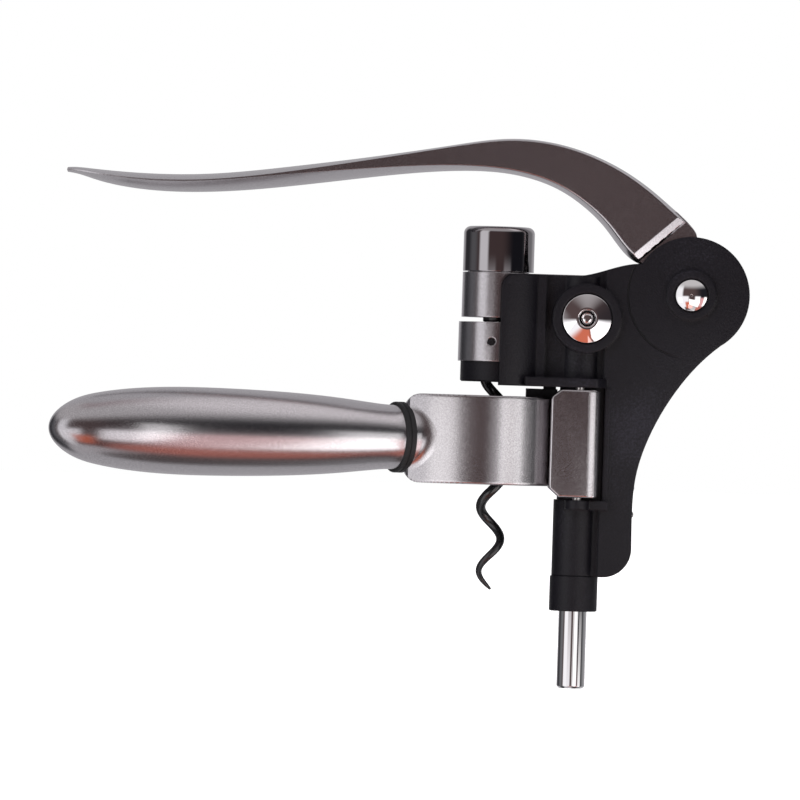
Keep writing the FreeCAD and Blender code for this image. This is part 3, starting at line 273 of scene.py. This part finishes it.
def smooth_line(knots, count, first=None, last=None):
    """The cubic line through some knots, with equal curvature on both sides of each: count points along it.
    The end directions are the given ones, or else the line ends straight."""
    knots = np.asarray(knots, float)
    chord = np.linalg.norm(np.diff(knots, axis=0), axis=1)
    t = np.concatenate([[0], np.cumsum(chord)])
    n = len(knots)
    system = np.zeros((n, n))
    right = np.zeros_like(knots)
    inner = np.arange(1, n - 1)
    before, after = chord[:-1], chord[1:]
    system[inner, inner - 1] = after
    system[inner, inner] = 2 * (before + after)
    system[inner, inner + 1] = before
    rise = np.diff(knots, axis=0) / chord[:, None]
    right[1:-1] = 3 * (after[:, None] * rise[:-1] + before[:, None] * rise[1:])
    for row, near_row, given, slope in ((0, 1, first, rise[0]), (n - 1, n - 2, last, rise[-1])):
        system[row, row] = 1.0 if given is not None else 2.0
        system[row, near_row] = 0.0 if given is not None else 1.0
        right[row] = np.asarray(given, float) if given is not None else 3 * slope
    tangent = np.linalg.solve(system, right)
    at = np.linspace(0, t[-1], count)
    k = np.clip(np.searchsorted(t, at, side="right") - 1, 0, n - 2)
    u = ((at - t[k]) / chord[k])[:, None]
    h = chord[k][:, None]
    return ((2 * u**3 - 3 * u**2 + 1) * knots[k] + (u**3 - 2 * u**2 + u) * h * tangent[k]
            + (3 * u**2 - 2 * u**3) * knots[k + 1] + (u**3 - u**2) * h * tangent[k + 1])


def rounded(points, radii, closed=False, steps=6):
    """A flat outline with each corner turned by an arc of its own radius."""
    points = np.asarray(points, float)
    out = []
    for i, (corner, radius) in enumerate(zip(points, radii)):
        if radius <= 0 or (not closed and i in (0, len(points) - 1)):
            out.append(corner[None])
            continue
        back = points[i - 1] - corner
        on = points[(i + 1) % len(points)] - corner
        back_length, on_length = np.linalg.norm(back), np.linalg.norm(on)
        back, on = back / back_length, on / on_length
        half = math.acos(float(np.clip(back @ on, -1, 1))) / 2
        reach = min(radius / math.tan(half), 0.49 * back_length, 0.49 * on_length)
        radius = reach * math.tan(half)
        centre = corner + (back + on) / np.linalg.norm(back + on) * radius / math.sin(half)
        start, end = corner + back * reach - centre, corner + on * reach - centre
        share = np.linspace(0, 1, steps + 1)[:, None]
        arc = start * (1 - share) + end * share
        out.append(centre + arc / np.linalg.norm(arc, axis=1)[:, None] * radius)
    return np.concatenate(out)


def drawn_in(outline, inset):
    """A closed flat outline, each point moved inwards along its own normal."""
    after = np.roll(outline, -1, axis=0)
    run = after - np.roll(outline, 1, axis=0)
    run /= np.linalg.norm(run, axis=1)[:, None]
    turn = np.sign(np.sum(outline[:, 0] * after[:, 1] - outline[:, 1] * after[:, 0]))
    return outline + np.stack([-run[:, 1], run[:, 0]], axis=1) * inset * turn


def softened(values, axis=0):
    """Each value drawn a little towards its two neighbours round the ring."""
    return 0.25 * np.roll(values, 1, axis=axis) + 0.5 * values + 0.25 * np.roll(values, -1, axis=axis)


def eased(share):
    """A smooth rise from 0 to 1."""
    share = np.clip(share, 0.0, 1.0)
    return share * share * (3 - 2 * share)


def surface(name, grid, finish, body, replaces=(), filled=False, sharp=35.0):
    """A mesh on a grid of points, rows along the piece and columns round it. Points that lie together become
    one, so that a row of one point is a pole, and open ends are filled where asked for."""
    rows, columns = grid.shape[:2]
    r = np.arange(rows - 1)[:, None]
    c = np.arange(columns)[None, :]
    after = (c + 1) % columns
    faces = np.stack([r * columns + c, r * columns + after, (r + 1) * columns + after, (r + 1) * columns + c],
                     axis=-1).reshape(-1, 4)
    mesh = bpy.data.meshes.new(name)
    mesh.from_pydata((grid.reshape(-1, 3) * MM).tolist(), [], faces.tolist())
    form = bmesh.new()
    form.from_mesh(mesh)
    bmesh.ops.remove_doubles(form, verts=form.verts, dist=1e-7)
    bmesh.ops.dissolve_degenerate(form, edges=form.edges, dist=1e-8)
    if filled:
        bmesh.ops.holes_fill(form, edges=[e for e in form.edges if e.is_boundary], sides=0)
    bmesh.ops.recalc_face_normals(form, faces=form.faces)
    form.to_mesh(mesh)
    form.free()
    mesh.shade_smooth()
    mesh.set_sharp_from_angle(angle=math.radians(sharp))
    thing = bpy.data.objects.new(name, mesh)
    bpy.context.scene.collection.objects.link(thing)
    thing.data.materials.append(finish)
    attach(thing, body)
    if replaces:
        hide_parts(*replaces)


def turned(name, profile, centre, axis, finish, body, replaces=(), segments=96):
    """A profile of (radius, height) carried round an axis: each point goes round a circle about it."""
    profile = np.asarray(profile, float)
    axis = np.asarray(axis, float) / np.linalg.norm(axis)
    side = np.cross(axis, [0.0, 0.0, 1.0] if abs(axis[2]) < 0.9 else [1.0, 0.0, 0.0])
    side /= np.linalg.norm(side)
    other = np.cross(axis, side)
    turn = np.linspace(0, 2 * np.pi, segments, endpoint=False)[None, :, None]
    ring = np.cos(turn) * side + np.sin(turn) * other
    grid = np.asarray(centre, float) + profile[:, 1, None, None] * axis + profile[:, 0, None, None] * ring
    surface(name, grid, finish, body, replaces)


def camera():
    """Level with the ring and far off, turned a little about its own axis, as in the photo."""
    tilt, distance, seen_width, sensor = math.radians(1.8), 2.5, 0.2402, 36.0
    middle_x, middle_z = -0.0283, 0.0111
    view = bpy.data.cameras.new("camera")
    view.sensor_width = sensor
    view.lens = sensor * distance / seen_width
    view.clip_start, view.clip_end = 0.1, 60.0
    holder = bpy.data.objects.new("camera", view)
    bpy.context.scene.collection.objects.link(holder)
    right = Vector((math.cos(tilt), 0.0, math.sin(tilt)))
    up = Vector((-math.sin(tilt), 0.0, math.cos(tilt)))
    back = Vector((0.0, -1.0, 0.0))
    turn = Matrix((right, up, back)).transposed().to_4x4()
    holder.matrix_world = Matrix.Translation(Vector((middle_x, -distance, middle_z))) @ turn
    bpy.context.scene.camera = holder


def studio():
    """A white room for the camera. Polished parts see soft boxes, dark gaps and a warm card low in front.
    Directions are in degrees: round from the camera's side towards the right, and up from the horizon."""
    world = bpy.data.worlds.new("studio")
    bpy.context.scene.world = world
    world.use_nodes = True
    f = Finish(world.node_tree)
    way = f.node("ShaderNodeSeparateXYZ", None, {0: f.node("ShaderNodeTexCoord", result=0)})
    x, y, z = (Flow(f, way.socket.node.outputs[i]) for i in range(3))
    degrees = 180 / math.pi
    up = f.node("ShaderNodeMath", {"operation": "ARCSINE"}, {0: z}) * degrees
    round_ = f.node("ShaderNodeMath", {"operation": "ARCTAN2"}, {0: x, 1: 0 - y}) * degrees

    def box(light, sides, ends, colour):
        """The light with a box in it: its left and right side, then its lower and upper end, each pair with
        the softness of its edges."""
        return f.blend(round_.between(*sides) * up.between(*ends), light, colour)

    # The walls: dim in front, grey on the right, then two darker steps and a soft box on the left.
    light = f.blend(round_.clear_step(5, 50), (0.090, 0.062, 0.062), (0.014, 0.014, 0.018))
    light = f.blend(round_.clear_step(78, 120), light, (0.28, 0.28, 0.29))
    light = f.blend(round_.clear_step(-88, -66), (0.15, 0.15, 0.16), light)
    light = f.blend(round_.clear_step(-118, -94), (0.045, 0.045, 0.05), light)
    light = f.blend(round_.between(-66, -36, 5), light, (0.98, 0.97, 1.0))
    # The ceiling, with a box on its right and a darker middle.
    light = f.blend(up.clear_step(22, 46), light, (0.56, 0.54, 0.55))
    light = box(light, (60, 150, 12), (42, 72, 8), (0.95, 0.91, 0.93))
    light = f.blend(up.clear_step(68, 84), light, (0.40, 0.33, 0.345))
    # Below the horizon: two white cards, a red one, two reddish ones and a bright box.
    light = box(light, (-64, -10, 5), (-48, -3, 4), (1.05, 1.03, 1.06))
    light = box(light, (17, 40, 4), (-35, -3, 4), (1.25, 1.22, 1.25))
    light = box(light, (-26, 10, 5), (-54, -26, 5), (0.66, 0.17, 0.10))
    light = box(light, (40, 58, 4), (-44, -8, 5), (0.80, 0.42, 0.42))
    light = box(light, (30, 84, 6), (-62, -42, 5), (0.56, 0.19, 0.15))
    light = box(light, (57, 82, 4), (-38, -5, 4), (2.1, 2.06, 2.06))
    # The ground, with a dark part on its right, and the wall behind the object.
    light = f.blend(up.clear_step(-66, -58), (0.54, 0.52, 0.54), light)
    light = box(light, (50, 150, 8), (-84, -61, 4), (0.09, 0.075, 0.075))
    light = f.blend(round_.between(-142, 136, 10), (0.52, 0.51, 0.53), light)
    seen = f.node("ShaderNodeLightPath", result=0)
    colour = f.blend(seen, light, (1.0, 1.0, 1.0))
    glow = f.node("ShaderNodeBackground", None, {"Color": colour, "Strength": 1.0})
    f.node("ShaderNodeOutputWorld", None, {"Surface": glow})

    # Three large lamps light the object, and three small cards close to it show only as reflections.
    for name, where, aim, size, power, is_card in (
            ("key", (-1.1, -1.6, 1.7), (0, 0, 0.02), (1.0, 1.0), 24.0, False),
            ("fill", (1.5, -1.2, 1.1), (0, 0, 0.02), (1.1, 1.1), 7.0, False),
            ("top", (0.1, 0.2, 2.2), (0, 0, 0.02), (1.4, 1.4), 20.0, False),
            ("ring_card", (0.0712, -0.0745, 0.001), (0.0262, -0.0083, 0.001), (0.0656, 0.046), 0.0104, True),
            ("rod_card", (0.062, -0.082, -0.060), (0.019, -0.018, -0.060), (0.068, 0.068), 0.0080, True),
            ("left_card", (-0.056, -0.110, -0.008), (-0.014, -0.02, -0.008), (0.044, 0.056), 0.0080, True)):
        lamp = bpy.data.lights.new(name, "AREA")
        lamp.shape = "RECTANGLE"
        lamp.size, lamp.size_y = size
        lamp.energy = power
        holder = bpy.data.objects.new(name, lamp)
        holder.location = where
        holder.rotation_euler = (Vector(aim) - Vector(where)).to_track_quat("-Z", "Y").to_euler()
        holder.visible_glossy = is_card
        holder.visible_diffuse = not is_card
        holder.visible_camera = False
        bpy.context.scene.collection.objects.link(holder)


def floor():
    """A wide pale sheet a little under the rod's end."""
    half_width, height, lines = 6000, -74.6, 5
    reach = np.linspace(-half_width, half_width, lines)
    across, along = np.meshgrid(reach, reach)
    points = np.stack([across, along, np.full_like(across, height)], axis=-1) * MM
    mesh = bpy.data.meshes.new("floor")
    index = np.arange(lines * lines).reshape(lines, lines)
    faces = np.stack([index[:-1, :-1], index[:-1, 1:], index[1:, 1:], index[1:, :-1]], axis=-1).reshape(-1, 4)
    mesh.from_pydata(points.reshape(-1, 3).tolist(), [], faces.tolist())
    sheet = bpy.data.objects.new("floor", mesh)
    bpy.context.scene.collection.objects.link(sheet)
    mesh.materials.append(material("pale_floor", paper))
    sheet.visible_glossy = False


# The lever, from tip to root: outer edge (x, z), inner edge (x, z), half width, and how far down its side the
# upper and lower ridges lie, as shares of its depth.
LEVER = np.array([
    (-130.15, 77.9, -130.1, 76.45, 2.6, 0.38, 0.60),
    (-128.6, 78.0, -128.2, 76.2, 3.7, 0.38, 0.60),
    (-122.9, 77.7, -122.3, 74.6, 6.4, 0.37, 0.50),
    (-110.1, 76.9, -109.8, 72.2, 8.8, 0.36, 0.45),
    (-89.3, 77.1, -88.9, 71.7, 10.45, 0.34, 0.42),
    (-64.1, 80.0, -63.3, 74.2, 11.0, 0.28, 0.42),
    (-39.0, 83.8, -38.1, 77.8, 10.7, 0.16, 0.60),
    (-13.9, 88.2, -12.9, 80.4, 9.7, 0.08, 0.82),
    (2.9, 90.5, 2.2, 80.0, 8.8, 0.06, 0.90),
    (19.8, 88.7, 14.6, 76.9, 8.15, 0.05, 0.92),
    (36.0, 82.4, 24.4, 71.3, 7.7, 0.05, 0.93),
    (46.8, 75.2, 32.0, 64.2, 7.5, 0.05, 0.93),
    (52.0, 70.9, 36.1, 59.0, 7.4, 0.05, 0.93),
    (55.9, 67.4, 40.2, 55.2, 7.4, 0.05, 0.93),
    (59.2, 63.2, 46.0, 53.0, 7.4, 0.05, 0.93),
])
# The line that the root's relief follows, by a point and a direction in the lever's plane.
RELIEF_X, RELIEF_Z = 42.1, 55.2
RELIEF_WAY = np.array([20.4, 18.0]) / math.hypot(20.4, 18.0)


def lever_blade():
    """Each section runs from the outer edge over a crowned top to the upper ridge, down the side to the
    lower ridge, and in under a crowned bottom to the inner edge; the other half is its mirror image. Near the
    pivot the half width is limited: it falls by a gentle cove and a step across the relief's line."""
    fine, root_from = 960, 800
    line = smooth_line(LEVER, fine)[np.r_[0:root_from:4, root_from:fine]]
    outer, inner, width = line[:, 0:2], line[:, 2:4], line[:, 4, None]
    high, low = np.clip(line[:, 5, None], 0.02, 0.9), np.clip(line[:, 6, None], 0.1, 0.97)
    top, side, bottom = np.linspace(0, 1, 25), np.linspace(0, 1, 57)[1:], np.linspace(0, 1, 25)[1:]
    y_half = np.tile(np.concatenate([top, np.ones(len(side)), 1 - bottom]), (len(line), 1))
    d_half = np.concatenate([high * top**2.2, high + (low - high) * side,
                             low + (1 - low) * (1 - (1 - bottom) ** 2.0)], axis=1)
    y = np.concatenate([y_half, -y_half[:, -2:0:-1]], axis=1) * width
    d = np.concatenate([d_half, d_half[:, -2:0:-1]], axis=1)
    for _ in range(2):
        y, d = softened(y, 1), softened(d, 1)
    xz = outer[:, None, :] * (1 - d[..., None]) + inner[:, None, :] * d[..., None]
    beyond = (xz[..., 1] - RELIEF_Z) * RELIEF_WAY[0] - (xz[..., 0] - RELIEF_X) * RELIEF_WAY[1]
    core, step, cove, widening = 4.85, 1.75, 0.8, 9.0
    limit = (core + step * eased((beyond + 0.2) / 0.6) + cove * np.clip((beyond - 0.3) / 2.3, 0, 1)
             + widening * np.clip((beyond - 2.6) / 20.0, 0, 1))
    grid = np.stack([xz[..., 0], np.clip(y, -limit, limit), xz[..., 1]], axis=-1)
    tip = grid[:1].mean(axis=1, keepdims=True) + np.array([-0.3, 0, 0])
    end = grid[-1:].mean(axis=1, keepdims=True)
    tip_rows, end_rows = np.array([0.0, 0.35, 0.7]), np.array([0.97, 0.6, 0.0])
    whole = np.concatenate([tip + (grid[:1] - tip) * tip_rows[:, None, None], grid,
                            end + (grid[-1:] - end) * end_rows[:, None, None]])
    surface("lever_blade", whole, SATIN_SMOOTH, "lever", ["lever_arm"], sharp=40.0)


def ray_reach(corners, angle):
    """How far a ray from the pivot at each angle goes to the last side of a polygon that it crosses."""
    a = np.asarray(corners, float) - PIVOT[[0, 2]]
    b = np.roll(a, -1, axis=0)
    way = np.stack([np.cos(angle), np.sin(angle)], axis=-1)[:, None, :]
    side = (b - a)[None]
    cross = way[..., 0] * side[..., 1] - way[..., 1] * side[..., 0]
    cross = np.where(np.abs(cross) < 1e-9, 1e-9, cross)
    along = (a[None, :, 0] * side[..., 1] - a[None, :, 1] * side[..., 0]) / cross
    share = (a[None, :, 0] * way[..., 1] - a[None, :, 1] * way[..., 0]) / cross
    hit = (share >= 0) & (share <= 1) & (along > 0)
    return np.where(hit, along, 0).max(axis=1)


def lever_cheeks():
    """The lever's root beside the gear: two plates whose edge is the hub's circle, or the root's outline
    where that reaches further from the pivot."""
    angle = np.linspace(0, 2 * np.pi, 240, endpoint=False)
    root = [(59.6, 62.6), (58.2, 64.9), (55.9, 67.4), (52.0, 70.9),
            (40.6, 58.0), (42.8, 54.6), (45.9, 49.1), (57.9, 45.1)]
    reach = softened(np.maximum(CHEEK_RADIUS, ray_reach(root, angle)))
    bore = np.full_like(angle, CHEEK_BORE)
    rows = [(bore, 4.9), (bore, 3.07), (reach, 3.07), (reach, 4.6), (reach - 0.3, 4.9), (bore, 4.9)]
    for side, name in ((-1, "near"), (1, "far")):
        grid = [np.stack([PIVOT[0] + radius * np.cos(angle), np.full_like(angle, side * y),
                          PIVOT[2] + radius * np.sin(angle)], axis=-1) for radius, y in rows]
        surface(f"{name}_lever_cheek", np.array(grid), SATIN_SMOOTH, "lever", sharp=30.0)


def grip_frame(side):
    """A grip's root and the way that it points; side is 1 for the near grip and -1 for the far one."""
    axis = np.array([-math.cos(GRIP_SPLAY), -side * math.sin(GRIP_SPLAY), 0.0])
    root = GRIP_ROOT * np.array([1.0, side, 1.0])
    return root, axis


def grips():
    """A slim egg turned about its own axis, and a band with a groove at its root."""
    length, root_radius, belly = 111.0, 9.3, 13.0
    start, hollow, flare, flare_length = 2.0, 4.1, 0.55, 1.6
    swell = belly - root_radius
    knots = [(root_radius, 0), (root_radius + 0.52 * swell, 0.17 * length),
             (root_radius + 0.86 * swell, 0.34 * length), (belly, 0.52 * length),
             (0.965 * belly, 0.72 * length), (0.83 * belly, 0.855 * length), (0.56 * belly, 0.95 * length),
             (0.0, length)]
    profile = smooth_line(knots, 150, first=(0.08, 1.0), last=(-1.0, 0.0))
    profile[:, 0] += flare * np.exp(-np.clip(profile[:, 1], 0, None) / flare_length)
    profile = np.concatenate([[(hollow, 0.0)], profile])
    profile[:, 1] += start
    profile[-1, 0] = 0.0
    band = rounded([(4.02, 0.1), (9.7, -0.6), (10.3, -0.6), (10.6, -0.2), (10.6, 1.0), (10.3, 1.15),
                    (10.3, 1.35), (10.6, 1.5), (10.6, 2.3), (10.2, 2.7), (9.7, 2.7), (4.02, 1.9)],
                   [0, 0.1, 0.2, 0.2, 0.1, 0.05, 0.05, 0.1, 0.2, 0.2, 0.1, 0], steps=3)
    for side, name in ((1, "near"), (-1, "far")):
        root, axis = grip_frame(side)
        turned(f"{name}_grip_shell", profile, root, axis, SATIN_SMOOTH, f"{name}_jaw_body", [f"{name}_grip"],
               segments=128)
        turned(f"{name}_band_ring", band, root, axis, RUBBER, f"{name}_jaw_body", [f"{name}_grip_band"],
               segments=128)


def wall_face(x):
    """The half ring's outer face in plan: a tight arc on the right, a flatter one on the left."""
    bend = np.where(x > FACE_X, FACE_BEND_RIGHT, FACE_BEND_LEFT)
    return bend - FACE_Y - np.sqrt(bend**2 - (x - FACE_X)**2)


def ring_walls():
    """Upright bands: each level is the same plan outline, its grip end drawn back near the top and bottom by
    a round corner, and its whole edge drawn in by a quarter circle."""
    edge, straight, levels, face_points = 0.6, 12.2, 41, 70
    bend = np.linspace(0, np.pi / 2, 7)
    top_z = RING_HALF - edge + edge * np.sin(bend)
    top_in = edge - edge * np.cos(bend)
    z = np.concatenate([-top_z[::-1], np.linspace(-straight, straight, levels), top_z])
    inset = np.concatenate([top_in[::-1], np.zeros(levels), top_in])
    turn = np.linspace(math.asin(-RING_BACK / RING_BORE), math.pi - math.asin(-HINGE_BACK / RING_BORE), 60)
    bore = np.stack([-RING_BORE * np.cos(turn), -RING_BORE * np.sin(turn)], axis=1)
    rows = []
    for height, draw in zip(z, inset):
        over = max(0.0, abs(height) - (RING_HALF - RING_CORNER))
        end = RING_END + RING_CORNER - math.sqrt(RING_CORNER**2 - over**2)
        x = np.linspace(RING_RIGHT, end + 3.4, face_points)
        face = np.stack([x, wall_face(x)], axis=1)
        plan = np.concatenate([face, [[end, wall_face(np.array(end))], [end, RING_BACK]], bore,
                               [[RING_RIGHT, HINGE_BACK]]])
        radii = np.zeros(len(plan))
        radii[face_points:face_points + 3] = 3.0, 1.2, 0.7
        outline = drawn_in(rounded(plan, radii, closed=True), draw)
        rows.append(np.column_stack([outline, np.full(len(outline), height)]))
    return np.array(rows)


def hinge_blocks():
    """A chamfered plate carried from back to front: its right edge draws back by a quarter circle, and its
    whole edge by a small one."""
    right_x, bend_radius, bend_from, edge, back_edge = 31.5, 2.9, -11.1, 0.65, -7.2
    bend = np.linspace(0, np.pi / 2, 15)
    plain = np.concatenate([[HINGE_BACK, -6.85, back_edge], np.linspace(-7.6, -10.9, 8)])
    y = np.concatenate([plain, bend_from - bend_radius * np.sin(bend)])
    right = np.concatenate([np.full(len(plain), right_x), right_x - bend_radius * (1 - np.cos(bend))])
    rows = []
    for depth, edge_x in zip(y, right):
        draw = max(0.0, bend_from - bend_radius + edge - depth, depth - back_edge)
        inset = edge - math.sqrt(max(0.0, edge**2 - min(draw, edge)**2))
        corners = [(16.9, -13.8), (16.9, 13.4), (19.9, 15.8), (edge_x, 15.8), (edge_x, -16.4), (19.9, -16.4)]
        plan = rounded(corners, [1.4, 1.4, 1.4, 0.7, 0.7, 1.4], closed=True)
        plan = drawn_in(plan, inset)
        rows.append(np.stack([plan[:, 0], np.full(len(plan), depth), plan[:, 1]], axis=1))
    return np.array(rows)


def grip_necks():
    """About the grip's axis: the radius is the neck's own or the reach to the ring wall's outside, whichever
    is more, with a fillet where they are about equal. The reach is found by halving."""
    neck_radius, fillet, furthest, halvings, sunk = 9.9, 2.4, 32.0, 18, 0.05
    root, axis = grip_frame(1)
    side = np.array([-axis[1], axis[0], 0.0])
    up = np.array([0.0, 0.0, 1.0])
    s = np.concatenate([[0.0, 0.03], np.linspace(0.25, 13.5, 70)])
    phi = np.linspace(0, 2 * np.pi, 200, endpoint=False)
    centre = root - s[:, None] * axis
    way = np.cos(phi)[:, None] * -side + np.sin(phi)[:, None] * up

    def inside(reach):
        """Whether the points at some reach from the axis are in the ring wall."""
        p = centre[:, None] + reach[..., None] * way[None]
        over = np.maximum(np.abs(p[..., 2]) - (RING_HALF - RING_CORNER), 0.0)
        end = RING_END + RING_CORNER - np.sqrt(np.maximum(RING_CORNER**2 - over**2, 0.0))
        return ((over < RING_CORNER) & (p[..., 0] > end)
                & (p[..., 1] > wall_face(p[..., 0])) & (p[..., 1] < RING_BACK))

    low, high = np.zeros((len(s), len(phi))), np.full((len(s), len(phi)), furthest)
    for _ in range(halvings):
        middle = (low + high) / 2
        within = inside(middle)
        low, high = np.where(within, middle, low), np.where(within, high, middle)
    wall = np.maximum(low - sunk, 0.0)
    blend = np.maximum(fillet - np.abs(wall - neck_radius), 0.0) / fillet
    reach = np.maximum(wall, neck_radius) + blend**2 * fillet / 4
    reach[0] = 0.0
    grid = centre[:, None] + reach[..., None] * way[None]
    grid[..., 1] = np.minimum(grid[..., 1], RING_BACK - sunk)
    grid[..., 2] = np.clip(grid[..., 2], sunk - RING_HALF, RING_HALF - sunk)
    return np.concatenate([grid, np.repeat(centre[-1:, None], len(phi), axis=1)])


def jaws():
    """Each jaw is a half ring's wall, the block at its hinge and the neck of its grip; the far one is the
    near one's mirror image."""
    shapes = (ring_walls(), "ring_wall"), (hinge_blocks(), "hinge_block"), (grip_necks(), "grip_neck")
    for grid, label in shapes:
        for name, side in (("near", 1.0), ("far", -1.0)):
            surface(f"{name}_{label}", grid * np.array([1.0, side, 1.0]), SATIN_SMOOTH, f"{name}_jaw_body",
                    [f"{name}_jaw"], filled=True, sharp=40.0)


def worm():
    """A round wire whose centre climbs a helix: its radius stays, its angle grows with height, and the wire
    thins to a point over its last turn and a third."""
    pitch, radius, wire, tip, top, left_z = 19.4, 3.1, 1.48, -45.0, 36.4, -39.4
    fine_end, taper = tip + 7.0, 26.0
    z = np.concatenate([np.linspace(tip, fine_end, 60), np.linspace(fine_end, top, 620)[1:]])
    turn = np.pi + (z - left_z) / pitch * 2 * np.pi
    outward = np.stack([np.cos(turn), np.sin(turn), 0 * z], axis=-1)
    centre = np.stack([radius * np.cos(turn), radius * np.sin(turn), z], axis=-1)
    climb = np.full_like(z, pitch / (2 * np.pi))
    along = np.stack([-radius * np.sin(turn), radius * np.cos(turn), climb], axis=-1)
    along /= np.linalg.norm(along, axis=1)[:, None]
    beside = np.cross(along, outward)
    thick = wire * np.clip((z - tip) / taper, 0.0, 1.0) ** 0.3
    phi = np.linspace(0, 2 * np.pi, 28, endpoint=False)[None, :, None]
    ring = np.cos(phi) * outward[:, None] + np.sin(phi) * beside[:, None]
    grid = centre[:, None] + thick[:, None, None] * ring
    grid = np.concatenate([grid, np.repeat(grid[-1:].mean(axis=1, keepdims=True), grid.shape[1], axis=1)])
    surface("worm_wire", grid, WIRE, "screw", ["worm"], sharp=60.0)
    shank = rounded([(0, 35.45), (4.2, 35.45), (4.2, 44), (3, 44), (3, 55), (0, 55)],
                    [0, 0.4, 0.3, 0.2, 0.3, 0])
    turned("worm_shank", shank, (0, 0, 0), (0, 0, 1), WIRE, "screw", ["worm"])


def chrome_parts():
    """Cap, rod and the caps on the side: turned forms with small true edges."""
    upright = (0, 0, 1)
    cap = rounded([(9.25, 50.5), (10.65, 50.5), (10.65, 64.0), (0, 64.0), (0, 62.0), (9.25, 62.0),
                   (9.25, 50.5)], [0, 0.15, 2.1, 0, 0, 0.3, 0], steps=12)
    turned("cap_shell", cap, (0, 0, 0), upright, DARK_CHROME, "carriage", ["carrier_cap"], 160)
    rod = rounded([(0, -73.8), (3.55, -73.8), (4.25, -73.1), (4.25, 38.5), (0, 38.5)], [0, 0.25, 0.3, 0.1, 0])
    turned("rod_bar", rod, (ROD_X, 0, 0), upright, CHROME, "carriage", ["guide_rod"], 128)
    dish = rounded([(2.4, 8.6), (7.2, 8.6), (7.45, 8.85), (7.3, 9.35), (3.3, 10.5), (2.75, 10.55),
                    (2.4, 10.2), (2.4, 8.6)], [0, 0.1, 0.15, 0.3, 0.45, 0.2, 0.15, 0], steps=8)
    pin = rounded([(0, 5.2), (1.9, 5.2), (1.9, 9.2), (1.2, 9.85), (0, 10.0)], [0, 0, 0.8, 0.9, 0], steps=8)
    crown_radius, crown_centre = 8.3, 2.08
    bend = np.linspace(math.radians(34), math.radians(2.5), 24)[:, None]
    crown = np.hstack([crown_radius * np.sin(bend), crown_centre + crown_radius * np.cos(bend)])
    dome = np.concatenate([[(0, 8.2), (4.6, 8.2)], crown, [(0.3, 10.2), (0, 10.2)]])
    for side, name in ((-1, "near"), (1, "far")):
        axis = (0, side, 0)
        turned(f"{name}_dish_ring", dish, DISH, axis, CHROME, "body", [f"{name}_dish_cap"],
               segments=128)
        turned(f"{name}_dish_rivet", pin, DISH, axis, CHROME, "body", [f"{name}_dish_pin"],
               segments=64)
        turned(f"{name}_pivot_dome", dome, PIVOT, axis, CHROME, "body", [f"{name}_pivot_cap"])


def dressed_nodes():
    """The frame's own pieces that stay, each in its finish."""
    for names, finish in (
        (("near_body_shell", "far_body_shell"), BLACK),
        (("nut_bush", "lower_guide_bush", "bottle_trigger", "rack_stop"), BLACK_SMALL),
        (("screw_carrier", "nut_collar"), SATIN),
        (("near_jaw_pad", "far_jaw_pad"), RUBBER),
        (("shell_screws", "rod_nut", "rack_screw", "rear_screws", "pivot_pin", "hinge_pins", "gear_dowels",
          "worm_washer", "worm_clip", "trigger_spring"), PLATED),
        (("rack", "hub_gear"), STEEL),
        (("nut_pin",), WIRE),
        (("worm_nut",), POLYMER),
    ):
        for name in names:
            slots = nodes[name].data.materials
            if len(slots):
                slots[0] = finish
            else:
                slots.append(finish)


camera()
studio()
floor()
dressed_nodes()
lever_blade()
lever_cheeks()
grips()
jaws()
worm()
chrome_parts()
bpy.context.scene.view_settings.view_transform = "Standard"
